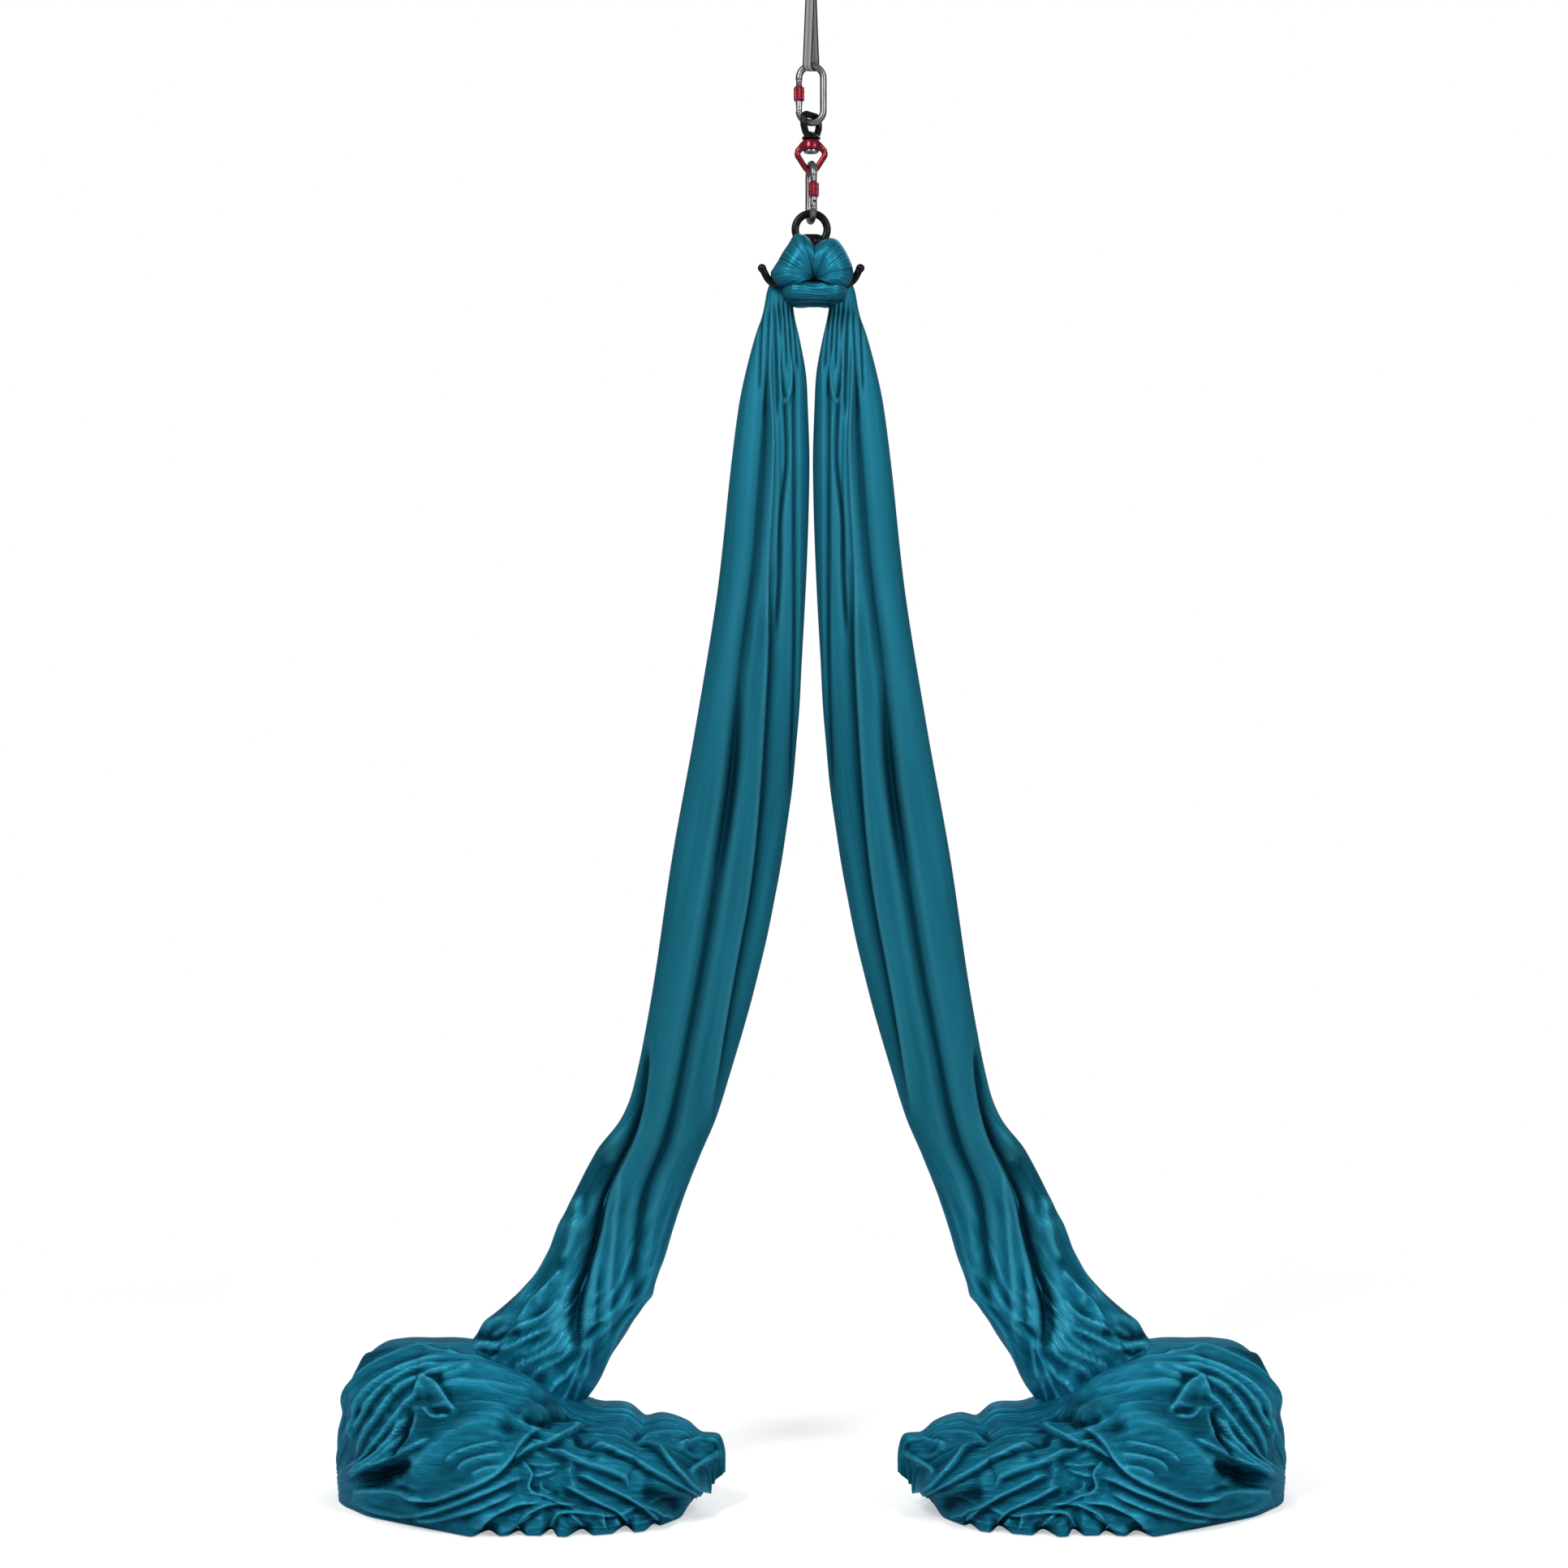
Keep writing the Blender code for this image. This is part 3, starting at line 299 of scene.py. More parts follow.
SHOULDER_SPREAD = (1.0, 0.86, 0.62, 0.48, 0.44)
HEAD_BORE_RADIUS = 0.0128
HEAD_BORE_TOP = -0.03135
HEAD_BORE_LOW = -0.0475
HEAD_NECK_RADIUS = 0.0075
HEAD_NECK_TOP = -0.0272
SWIVEL_SMOOTH = 50
NUT_PROFILE = (
    (0.0070, -0.04095), (0.0094, -0.04095), (0.0094, -0.04615), (0.0119, -0.04615),
    (0.0124, -0.04665), (0.0124, -0.04915), (0.0116, -0.04995), (0.0070, -0.04995),
    (0.0070, -0.04095),
)
NUT_EDGE = 0.0002

# Rescue figure-eight, drawn in the object's own heights. A ring is its centre's height and radius.
SMALL_RING = (-0.4516, 0.0265)
BIG_RING = (-0.5390, 0.0315)
RING_HALF_IN = 0.0065
RING_HALF_ACROSS = 0.0060
NECK_ARCH = ((-0.0215, -0.4730), (-0.0130, -0.4645), (0.0130, -0.4645), (0.0215, -0.4730))
NECK_ARCH_CORNERS = (0.012, 0.012)
NECK_ARCH_HALF = 0.0054
NECK_LINE = ((0.0, -0.4650), (0.0, -0.5100))
NECK_HALF_WIDTH = 0.0125
NECK_HALF_ACROSS = 0.94 * RING_HALF_ACROSS
EAR_LINE = ((0.0330, -0.5440), (0.0665, -0.5462), (0.0818, -0.5150))
EAR_CORNER = 0.028
EAR_RADIUS = 0.0062
EAR_TIP_RADIUS = 0.0073
EAR_TIP_DROP = 0.001

# Forgings: the grid that blends their parts, and how many rounds of smoothing fillet each
FORGING_VOXEL = 0.0006
SMALL_FORGING_VOXEL = 0.00045
EYE_ROUNDS = 14
SWIVEL_ROUNDS = 34
EIGHT_ROUNDS = 22

# Sling: its loop is round at the top and at the carabiner, with each leg offset to one side
WEBBING_WIDTH = 0.0155
WEBBING_THICKNESS = 0.0025
SLING_TOP_RADIUS = 0.006
SLING_LOW_CENTRE = -0.17975
SLING_LOW_RADIUS = 0.00625
SLING_SIDE_RADIUS = 0.00785
FRONT_LEG_OFFSET = -0.0068
BACK_LEG_OFFSET = 0.0062
SLING_ROWS = 420
SLING_COLUMNS = 40
SLING_BEND_POINTS = 40

# Tail stations on the right-hand side: distance out from the rig's line, depth, height, half width
# and half thickness, all in metres
TAIL_STATIONS = (
    (0.0440, 0.012, -0.516, 0.012, 0.008),
    (0.0500, 0.024, -0.545, 0.021, 0.014),
    (0.0540, 0.024, -0.583, 0.025, 0.016),
    (0.0574, 0.018, -0.637, 0.039, 0.021),
    (0.0601, 0.012, -0.691, 0.051, 0.027),
    (0.0641, 0.008, -0.745, 0.058, 0.032),
    (0.0695, 0.002, -0.853, 0.066, 0.036),
    (0.0844, 0.000, -1.069, 0.074, 0.040),
    (0.1087, 0.000, -1.285, 0.085, 0.042),
    (0.1397, 0.000, -1.501, 0.092, 0.042),
    (0.1802, 0.000, -1.717, 0.084, 0.042),
    (0.2201, 0.002, -1.879, 0.077, 0.042),
    (0.2396, 0.004, -1.933, 0.079, 0.042),
    (0.2714, 0.006, -1.987, 0.088, 0.043),
    (0.3193, 0.012, -2.095, 0.095, 0.045),
    (0.3540, 0.020, -2.185, 0.103, 0.048),
    (0.3820, 0.024, -2.230, 0.115, 0.050),
    (0.4270, 0.028, -2.284, 0.126, 0.054),
    (0.4580, 0.030, -2.338, 0.122, 0.056),
    (0.4720, 0.026, -2.392, 0.102, 0.054),
    (0.4700, 0.020, -2.430, 0.070, 0.048),
)

# Pleats of a tail's back and edges: angle round it at the knot, mid way and at the floor, half
# width in degrees, and depth in metres at the same places. 0 is the outer edge, 90 the front.
BACK_PLEATS = (
    (-10, -12, -14, 6.0, 0.006, 0.006, 0.010),
    (-30, -32, -34, 5.0, 0.009, 0.014, 0.018),
    (-48, -50, -53, 4.0, 0.010, 0.020, 0.022),
    (-64, -67, -70, 4.0, 0.010, 0.022, 0.024),
    (-112, -110, -106, 4.0, 0.010, 0.022, 0.024),
    (-128, -126, -122, 4.0, 0.010, 0.020, 0.022),
    (-146, -143, -140, 5.0, 0.009, 0.018, 0.020),
    (-164, -162, -160, 5.0, 0.006, 0.012, 0.014),
)
PLEAT_PLACES = (0.0, 0.4, 1.0)

# Heap stations from its outer end to the hem: distance out, height, depth of the top, of the front
# edge and of the back edge, and how far the bottom leans outward, all in metres
HEAP_STATIONS = (
    (0.7880, 0.040, 0.030, 0.0295, 0.0305, 0.000),
    (0.7840, 0.120, 0.028, -0.012, 0.080, 0.000),
    (0.7700, 0.176, 0.030, -0.045, 0.120, 0.000),
    (0.7480, 0.226, 0.036, -0.075, 0.146, 0.000),
    (0.7200, 0.250, 0.042, -0.110, 0.166, 0.000),
    (0.6850, 0.258, 0.046, -0.136, 0.182, 0.000),
    (0.6400, 0.256, 0.050, -0.166, 0.196, 0.000),
    (0.5900, 0.254, 0.050, -0.198, 0.204, 0.000),
    (0.5300, 0.240, 0.046, -0.232, 0.206, 0.000),
    (0.4700, 0.214, 0.030, -0.222, 0.200, 0.004),
    (0.4100, 0.172, 0.006, -0.224, 0.184, 0.012),
    (0.3600, 0.154, -0.018, -0.230, 0.160, 0.022),
    (0.3050, 0.152, -0.030, -0.218, 0.130, 0.032),
    (0.2760, 0.134, -0.034, -0.212, 0.112, 0.040),
    (0.2450, 0.142, -0.040, -0.208, 0.094, 0.046),
    (0.2050, 0.134, -0.048, -0.190, 0.064, 0.054),
    (0.1820, 0.118, -0.054, -0.160, 0.040, 0.058),
    (0.1520, 0.116, -0.058, -0.118, 0.000, 0.062),
    (0.1450, 0.060, -0.062, -0.066, -0.058, 0.062),
)

# Mouths of the pleats along the heap's front edge: distance out, how far each goes in, half width
PLEAT_MOUTHS = (
    (0.515, 0.040, 0.026), (0.462, 0.026, 0.018), (0.403, 0.040, 0.018), (0.343, 0.042, 0.028),
    (0.256, 0.044, 0.024), (0.200, 0.030, 0.016),
)
MOUTH_HEIGHT = 0.036

# Folds of the silk, as lines in the photograph's plane for the right-hand side. Each has its height,
# the width of its slow side and of its sharp side, and points on it: distance out from the rig's
# line and height above the heap's front edge. All are millimetres. The slow side is on the left.
TAIL_FOLDS = (
    # Long soft hollow beside the smooth outer band
    (-7, 15, 20, (
        (73, 2018), (74, 1950), (85, 1802), (100, 1613), (121, 1451), (137, 1262), (165, 1073),
    )),
    (-11, 20, 26, (
        (121, 1451), (137, 1262), (165, 1073), (186, 945), (210, 816), (241, 668), (280, 560),
        (297, 398), (312, 330),
    )),
    # Sharp edge of the outer panel over the inner one
    (7, 18, 4, ((66, 2018), (68, 1950), (63, 1802), (72, 1613), (76, 1451))),
    (13, 30, 6, ((72, 1613), (76, 1451), (92, 1201), (107, 1073), (132, 938), (154, 816), (176, 668))),
    # Soft hollows of the inner third
    (-5, 7, 7, ((48, 1980), (48, 1950), (40, 1802), (51, 1694), (52, 1613), (59, 1478))),
    (-5, 8, 8, ((24, 2000), (27, 1900), (27, 1802), (27, 1613), (27, 1451), (33, 1275), (40, 1180))),
    (4, 6, 4, ((48, 2030), (51, 1910), (43, 1890), (34, 1910), (30, 1990))),
    (3, 12, 6, ((58, 1900), (56, 1760), (62, 1600))),
    # Fine pleats below the knot
    (-4, 4, 4, ((80, 2062), (84, 2010), (88, 1900))),
    (-4, 4, 4, ((70, 2062), (72, 2010), (76, 1930), (80, 1850))),
    (-4, 4, 4, ((62, 2062), (60, 2010), (58, 1940), (55, 1850))),
    (-4, 4, 4, ((54, 2062), (50, 2000), (50, 1930))),
    (-4, 3, 3, ((46, 2062), (42, 2010), (40, 1940))),
    (-4, 3, 3, ((38, 2062), (34, 2010), (30, 1950), (26, 1890))),
    (-4, 3, 3, ((32, 2062), (26, 2010), (20, 1940))),
    # Shadowed flare of the outer edge
    (-24, 34, 11, (
        (276, 840), (284, 749), (303, 668), (343, 580), (357, 513), (378, 430), (389, 375), (387, 290),
    )),
    (8, 14, 12, ((392, 575), (398, 503), (417, 457))),
    (-9, 26, 26, ((345, 640), (366, 600), (386, 560), (398, 520))),
    (-5, 5, 5, ((350, 457), (355, 403), (357, 348))),
    (6, 14, 12, ((318, 620), (330, 500), (338, 400), (345, 320))),
    # Crinkles above the heap
    (5, 12, 4, ((452, 385), (453, 403), (417, 446))),
    (5, 10, 4, ((490, 357), (467, 394), (435, 421))),
    (6, 12, 4, ((520, 330), (485, 352), (444, 372), (420, 400))),
    (6, 10, 4, ((540, 318), (508, 316), (470, 335), (430, 352))),
    (5, 10, 4, ((500, 284), (462, 298), (430, 318), (410, 345))),
    (5, 9, 4, ((470, 270), (440, 288), (415, 300), (398, 322))),
    (5, 8, 4, ((444, 229), (426, 257), (408, 270), (394, 293))),
    (5, 8, 4, ((420, 222), (408, 240), (398, 262), (390, 280))),
    (4, 8, 4, ((398, 216), (390, 240), (386, 262))),
    (4, 8, 4, ((380, 262), (372, 290), (368, 330))),
    (-8, 10, 8, ((562, 340), (530, 330), (500, 340), (480, 338))),
    (-8, 9, 7, ((560, 318), (535, 305), (510, 322))),
)
HEAP_FOLDS = (
    # Top edge of the front panel, with the dark bulge behind it
    (24, 70, 8, (
        (773, 179), (759, 233), (732, 270), (700, 288), (649, 303), (622, 293), (590, 284), (553, 277),
        (517, 263), (489, 249), (467, 233), (444, 220), (394, 206),
    )),
    (9, 20, 6, ((604, 325), (598, 302), (582, 288))),
    (9, 18, 6, ((576, 334), (563, 311), (556, 286))),
    (8, 16, 6, ((548, 318), (552, 296), (545, 276))),
    (8, 22, 6, ((776, 200), (772, 256), (748, 292), (700, 308), (660, 314))),
    # Pleats that curl round the outer end
    (9, 16, 5, ((590, 282), (645, 277), (700, 261), (741, 225), (761, 183), (771, 147))),
    (9, 17, 5, ((608, 272), (663, 268), (713, 240), (748, 196), (768, 160))),
    (10, 17, 5, ((581, 268), (636, 262), (682, 245), (718, 206), (745, 170), (766, 124))),
    (9, 16, 5, ((649, 245), (677, 220), (709, 183), (736, 147), (761, 113))),
    (9, 15, 5, ((663, 220), (686, 188), (713, 152), (741, 124), (764, 106))),
    (7, 12, 5, ((675, 197), (695, 160), (727, 129), (755, 106))),
    (5, 20, 8, ((560, 268), (590, 262), (620, 258))),
    (6, 26, 8, ((470, 225), (520, 240), (575, 250), (620, 250))),
    # Hollow beside them, and the small flap over it
    (-20, 14, 13, ((668, 226), (679, 188), (691, 152), (702, 122))),
    (-9, 12, 11, ((648, 215), (622, 211), (596, 209))),
    (12, 28, 5, ((663, 234), (645, 256), (624, 250), (599, 218), (586, 209))),
    (9, 24, 5, ((599, 206), (631, 202), (649, 220))),
    # Recess at the lower outer end
    (-34, 24, 20, ((768, 88), (727, 100), (691, 113), (655, 132))),
    (14, 26, 6, ((631, 170), (649, 156), (691, 137), (732, 120), (768, 98))),
    (13, 30, 6, ((766, 78), (723, 80), (682, 78), (631, 65))),
    # Smooth lens-shaped panels in the middle
    (13, 42, 40, ((672, 101), (631, 147), (586, 179), (540, 188), (500, 180))),
    (16, 46, 5, (
        (440, 180), (467, 170), (490, 147), (508, 124), (535, 101), (576, 79), (631, 64), (691, 80),
    )),
    (5, 12, 5, ((612, 122), (596, 138), (566, 150), (520, 158))),
    (5, 12, 5, ((590, 108), (580, 124), (552, 134), (512, 138))),
    (4, 10, 5, ((566, 104), (548, 114), (520, 118))),
    (12, 32, 5, ((371, 193), (403, 170), (435, 156), (467, 147), (508, 124))),
    (-12, 20, 18, ((490, 195), (453, 188), (417, 197), (385, 204))),
    (-8, 8, 8, ((458, 190), (440, 184), (428, 186))),
    # Long folds swept inward from the outer end
    (14, 36, 6, ((470, 104), (508, 92), (544, 76), (590, 56), (645, 41), (700, 37), (764, 57))),
    (12, 26, 5, ((490, 78), (526, 62), (563, 46), (608, 33), (668, 26))),
    (14, 42, 6, ((170, 66), (243, 97), (298, 124), (344, 145), (392, 152))),
    (12, 26, 5, ((150, 81), (207, 90), (234, 115), (257, 149), (298, 163))),
    (12, 36, 6, ((298, 80), (325, 101), (380, 119), (438, 148))),
    (-14, 10, 10, ((273, 192), (286, 172), (300, 160))),
    (8, 20, 6, ((202, 184), (234, 193), (271, 190))),
    (8, 16, 4, ((229, 156), (193, 163), (150, 174))),
    (7, 14, 4, ((211, 106), (188, 124), (150, 147))),
    (9, 28, 28, ((371, 129), (316, 106), (270, 96))),
    (-11, 28, 24, ((290, 82), (240, 62), (205, 42))),
    (9, 18, 24, ((380, 195), (348, 205), (295, 200))),
    (-13, 12, 12, ((400, 172), (385, 153), (350, 149))),
    # Small crossed wrinkles
    (8, 14, 4, ((485, 129), (467, 106), (471, 83), (444, 65))),
    (8, 14, 4, ((421, 115), (435, 106), (470, 101))),
    (7, 12, 4, ((415, 122), (444, 117), (478, 124))),
    (8, 14, 4, ((390, 49), (421, 60), (464, 78))),
    (6, 10, 4, ((452, 96), (448, 82), (430, 74))),
    # Pleats along the bottom, with pointed tips
    (11, 22, 5, ((444, 60), (490, 56), (526, 42), (553, 28), (560, 0))),
    (10, 18, 4, ((385, 56), (435, 56), (471, 42), (510, 18))),
    (10, 18, 4, ((322, 35), (371, 42), (417, 42), (430, 28), (427, 0))),
    (8, 14, 4, ((408, 42), (380, 24), (376, -2))),
    (12, 24, 5, ((287, 6), (321, 42), (371, 65), (420, 90))),
    (12, 24, 5, ((244, 20), (289, 56), (344, 83), (398, 108))),
    (10, 18, 5, ((210, 6), (226, 28), (262, 48), (300, 60))),
    (8, 16, 4, ((462, 42), (490, 24), (524, 4))),
    (8, 14, 4, ((328, 38), (318, 20), (290, 8))),
    (8, 16, 4, ((350, 46), (345, 20), (338, 0))),
    (9, 18, 5, ((610, 12), (650, 22), (700, 24))),
)

# Deep parts of the cloth, which stay in shadow: how dark from 0 to 1, half width, and points like
# those of the folds
TAIL_SHADES = (
    (0.7, 24, ((325, 681), (352, 632), (380, 590), (396, 556))),
    (0.9, 17, ((290, 700), (320, 640), (346, 581), (371, 503), (382, 421), (392, 348), (389, 293))),
    (0.6, 9, ((110, 1500), (121, 1451), (137, 1262), (165, 1073), (186, 945), (210, 816), (228, 720))),
    (0.6, 8, ((73, 1990), (74, 1950), (85, 1802), (100, 1613), (116, 1490))),
    (0.7, 9, ((526, 336), (508, 354), (490, 346), (478, 330))),
    (0.7, 10, ((560, 300), (545, 292), (530, 280))),
    (0.6, 8, ((403, 242), (396, 226), (390, 214))),
    (0.5, 10, ((455, 330), (440, 345), (425, 350))),
)
HEAP_SHADES = (
    (0.85, 24, ((776, 190), (777, 240), (757, 284), (713, 302), (672, 306), (640, 312), (610, 300))),
    (0.8, 12, ((775, 96), (736, 103), (704, 117), (690, 150), (676, 190))),
    (0.75, 19, ((520, 196), (480, 206), (440, 210), (400, 206))),
    (0.7, 10, ((405, 168), (384, 163), (362, 160))),
    (0.6, 26, ((310, 88), (270, 76), (230, 64), (190, 52))),
    (0.7, 11, ((750, 60), (710, 50), (660, 38), (590, 34), (540, 30))),
    (0.6, 8, ((712, 258), (690, 234), (674, 205), (690, 150))),
    (0.8, 8, ((630, 222), (612, 214), (592, 208))),
    (0.5, 8, ((470, 92), (430, 72), (400, 58), (345, 38))),
    (0.5, 7, ((500, 128), (470, 122), (440, 112), (410, 100))),
    (0.5, 9, ((548, 60), (520, 40), (500, 22))),
    (0.6, 7, ((430, 40), (408, 28), (400, 8))),
    (0.6, 7, ((365, 38), (352, 22), (340, 8))),
    (0.5, 8, ((300, 150), (270, 152), (240, 140), (214, 128))),
    (0.5, 9, ((180, 150), (165, 130), (152, 112))),
    (0.5, 8, ((590, 168), (560, 172), (530, 166))),
)

# Lamps: place, point aimed at, width and height, and watts
LAMPS = {
    "key": ((-2.0, -3.2, 1.4), (0, 0, -1.6), (0.8, 1.8), 120),
    "fill": ((2.4, -3.0, 0.6), (0, 0, -1.7), (0.8, 1.8), 75),
    "rim": ((0.6, 2.6, 1.0), (0, 0, -1.4), (2.2, 1.6), 30),
}

# Silk's tones: its streaks from dark to pale, the painted shade of its hollows and the painted
# highlights of its crests, each with how much of it, where the cloth is plain and where it shines,
# then its tone there, brighter where it shines as painted sheen. A scale counts how often a pattern
# repeats across, along and out of the cloth. A relief is its strength and its height in metres.
SILK_TEALS = (
    (0.32, (0.0062, 0.126, 0.198)), (0.50, (0.0086, 0.154, 0.242)), (0.70, (0.0118, 0.188, 0.287)),
)
SILK_SHEEN = (0.04, 0.62, 0.90)
SILK_PAINTED_SHADE = ((0.0003, 0.012, 0.026), 0.85)
PLAIN_PAINTED_HIGHLIGHT = ((0.040, 0.250, 0.340), 0.30)
SATIN_PAINTED_HIGHLIGHT = ((0.070, 0.430, 0.590), 0.52)
PLAIN_TONE = (1.35, 0.92, 0.87)
SATIN_PAINTED_SHEEN_TONE = (1.0, 1.15, 1.18)
PLAIN_DULLNESS = 1.75
SILK_STREAKS = (90.0, 2.5, 1.0)
SILK_PATCHES = (9.0, 3.0, 1.0)
SILK_CRINKLES = (60.0, 26.0, 1.0)
SILK_LINES = (240.0, 6.0, 1.0)
SILK_KNIT = 900.0
KNIT_RELIEF = (0.15, 0.0002)
LINE_RELIEF = (0.35, 0.0012)
CRINKLE_RELIEF = (0.9, 0.006)
SILK_ROUGHNESS = ((0.2, 0.25), (0.8, 0.36))

# Metals: the darkest, lightest and worn tone, then roughness, wear, metallic, coat and shine
METALS = {
    "steel": (
        (0.13, 0.134, 0.134), (0.21, 0.215, 0.215), (0.42, 0.42, 0.41), 0.33, 0.7, 1.0, 0.0, 0.5,
    ),
    "dark_steel": (
        (0.20, 0.20, 0.21), (0.34, 0.34, 0.35), (0.50, 0.50, 0.50), 0.30, 0.6, 1.0, 0.0, 0.5,
    ),
    "red_anodised": (
        (0.17, 0.007, 0.017), (0.27, 0.014, 0.030), (0.62, 0.20, 0.22), 0.28, 0.5, 0.85, 0.2, 0.5,
    ),
    "black_anodised": (
        (0.0012, 0.0014, 0.0014), (0.003, 0.0034, 0.0034), (0.02, 0.02, 0.02), 0.30, 0.4, 0.0, 0.04,
        0.14,
    ),
}
METAL_GRAIN = (520.0, 520.0, 60.0)
METAL_CLOUD = 140.0
METAL_SCRATCHES = 800.0
NOISE_RANGE = (0.3, 0.7)
EDGE_RANGE = (0.53, 0.62)
GLOSS_RANGE = (0.9, 1.12)
METAL_RELIEF = (0.012, 0.0002)
COAT_ROUGHNESS = 0.12

# Webbing: its weave's greys, and across its width from 0 to 1 the edge bands and the stitched rows
WEBBING_GREYS = ((0.0, (0.150, 0.152, 0.158)), (0.6, (0.420, 0.424, 0.440)))
WEBBING_BANDS = (
    (0.0, 0.05), (0.12, 0.06), (0.17, 1.0), (0.43, 1.0), (0.47, 0.55), (0.53, 0.55), (0.57, 1.0),
    (0.83, 1.0), (0.88, 0.06),
)
STITCH_ROWS = (
    (0.0, 0.0), (0.205, 0.0), (0.215, 1.0), (0.255, 1.0), (0.265, 0.0), (0.735, 0.0), (0.745, 1.0),
    (0.785, 1.0), (0.795, 0.0),
)
WEBBING_RIBS = 310.0
WEBBING_YARNS = 420.0
STITCH_PITCH = 0.004
STITCH_SHARE = 0.36
WEAVE_RELIEF = (0.7, 0.0005)
STITCH_RELIEF = (0.6, 0.0006)
THREAD_GREY = (0.42, 0.42, 0.43)

# Colour sockets of a Mix node
MIX_FIRST = 6
MIX_SECOND = 7
MIX_RESULT = 2


# From the photograph's pixels to metres


def photo_x(column):
    return (column - RIG_LINE_PX) * METRES_PER_PX


def photo_z(row):
    return (SLING_TOP_ROW_PX - row) * METRES_PER_PX


# Nodes: each is added to a tree and gives back the output that is used


def feed(tree, source, socket):
    """Link an output to a socket, or give the socket a plain value."""
    if isinstance(source, bpy.types.NodeSocket):
        tree.links.new(source, socket)
    else:
        socket.default_value = source


def calculated(tree, operation, *values):
    """Math on outputs and plain numbers."""
    node = tree.nodes.new("ShaderNodeMath")
    node.operation = operation
    for value, socket in zip(values, node.inputs):
        feed(tree, value, socket)
    return node.outputs[0]


def product(tree, first, second):
    return calculated(tree, "MULTIPLY", first, second)


def mapped(tree, value, start, end, low=0.0, high=1.0):
    """A value moved from one range to another and kept inside it."""
    node = tree.nodes.new("ShaderNodeMapRange")
    names = ("Value", "From Min", "From Max", "To Min", "To Max")
    for name, number in zip(names, (value, start, end, low, high)):
        feed(tree, number, node.inputs[name])
    return node.outputs["Result"]


def mixed(tree, share, first, second, blend="MIX"):
    """Two colours mixed or multiplied, each an output or three plain numbers."""
    node = tree.nodes.new("ShaderNodeMix")
    node.data_type = "RGBA"
    node.blend_type = blend
    feed(tree, share, node.inputs["Factor"])
    for colour, place in ((first, MIX_FIRST), (second, MIX_SECOND)):
        plain = isinstance(colour, tuple)
        feed(tree, (*colour, 1.0) if plain else colour, node.inputs[place])
    return node.outputs[MIX_RESULT]


def coordinates(tree, kind):
    return tree.nodes.new("ShaderNodeTexCoord").outputs[kind]


def field(tree, name):
    """A field that the mesh carries, such as how deep its folds are."""
    node = tree.nodes.new("ShaderNodeAttribute")
    node.attribute_name = name
    return node.outputs["Fac"]


def noise(tree, vector, scale, detail=3.0, roughness=0.5):
    node = tree.nodes.new("ShaderNodeTexNoise")
    node.inputs["Scale"].default_value = scale
    node.inputs["Detail"].default_value = detail
    node.inputs["Roughness"].default_value = roughness
    tree.links.new(vector, node.inputs["Vector"])
    return node.outputs["Fac"]


def stretched(tree, vector, scale):
    node = tree.nodes.new("ShaderNodeMapping")
    node.inputs["Scale"].default_value = scale
    tree.links.new(vector, node.inputs["Vector"])
    return node.outputs["Vector"]


def bands(tree, vector, direction, scale, distortion=0.0):
    """Even waves along one axis of a pattern."""
    node = tree.nodes.new("ShaderNodeTexWave")
    node.wave_type = "BANDS"
    node.bands_direction = direction
    node.inputs["Scale"].default_value = scale
    node.inputs["Distortion"].default_value = distortion
    tree.links.new(vector, node.inputs["Vector"])
    return node.outputs["Fac"]


def ramp(tree, value, stops):
    """Colours at places from 0 to 1."""
    node = tree.nodes.new("ShaderNodeValToRGB")
    while len(node.color_ramp.elements) < len(stops):
        node.color_ramp.elements.new(0.5)
    for element, (place, colour) in zip(node.color_ramp.elements, stops):
        element.position = place
        element.color = (*colour, 1.0)
    tree.links.new(value, node.inputs["Fac"])
    return node.outputs["Color"]


def grey_ramp(tree, value, stops):
    """Greys from 0 to 1 at places from 0 to 1."""
    return ramp(tree, value, [(place, (grey, grey, grey)) for place, grey in stops])


def bump(tree, height, strength, distance, under=None):
    """A relief on the surface, over another one if that is given."""
    node = tree.nodes.new("ShaderNodeBump")
    node.inputs["Strength"].default_value = strength
    node.inputs["Distance"].default_value = distance
    tree.links.new(height, node.inputs["Height"])
    if under is not None:
        tree.links.new(under, node.inputs["Normal"])
    return node.outputs["Normal"]


def tinted(tree, colour, name, tint, share):
    """A colour moved toward a tint where the mesh's field is high."""
    return mixed(tree, product(tree, field(tree, name), share), colour, tint)


def toned(tree, colour, shares):
    """A colour times one constant share of red, green and blue."""
    return mixed(tree, 1.0, colour, shares, "MULTIPLY")


def white_light(tree, kind, strength):
    """A white Background or Emission."""
    node = tree.nodes.new(kind)
    node.inputs["Color"].default_value = (1.0, 1.0, 1.0, 1.0)
    feed(tree, strength, node.inputs["Strength"])
    return node.outputs[0]


def shader_mix(tree, share, first, second):
    node = tree.nodes.new("ShaderNodeMixShader")
    for source, socket in zip((share, first, second), node.inputs):
        tree.links.new(source, socket)
    return node.outputs[0]


# Camera, lamps, floor and backdrop


def stand_camera():
    """The camera on the photograph's middle, level, framing the same square."""
    half = PHOTO_SIDE_PX / 2
    data = bpy.data.cameras.new("camera")
    data.sensor_width = SENSOR
    data.lens = SENSOR * CAMERA_DISTANCE / (PHOTO_SIDE_PX * METRES_PER_PX)
    camera = bpy.data.objects.new("camera", data)
    bpy.context.scene.collection.objects.link(camera)
    camera.location = (photo_x(half), -CAMERA_DISTANCE, photo_z(half))
    camera.rotation_euler = (math.radians(90), 0, 0)
    bpy.context.scene.camera = camera


def hang_lamp(name, place, target, size, power):
    data = bpy.data.lights.new(name, "AREA")
    data.shape = "RECTANGLE"
    data.size, data.size_y = size
    data.energy = power
    lamp = bpy.data.objects.new(name, data)
    bpy.context.scene.collection.objects.link(lamp)
    lamp.location = place
    aim = Vector(target) - Vector(place)
    lamp.rotation_euler = aim.to_track_quat("-Z", "Y").to_euler()


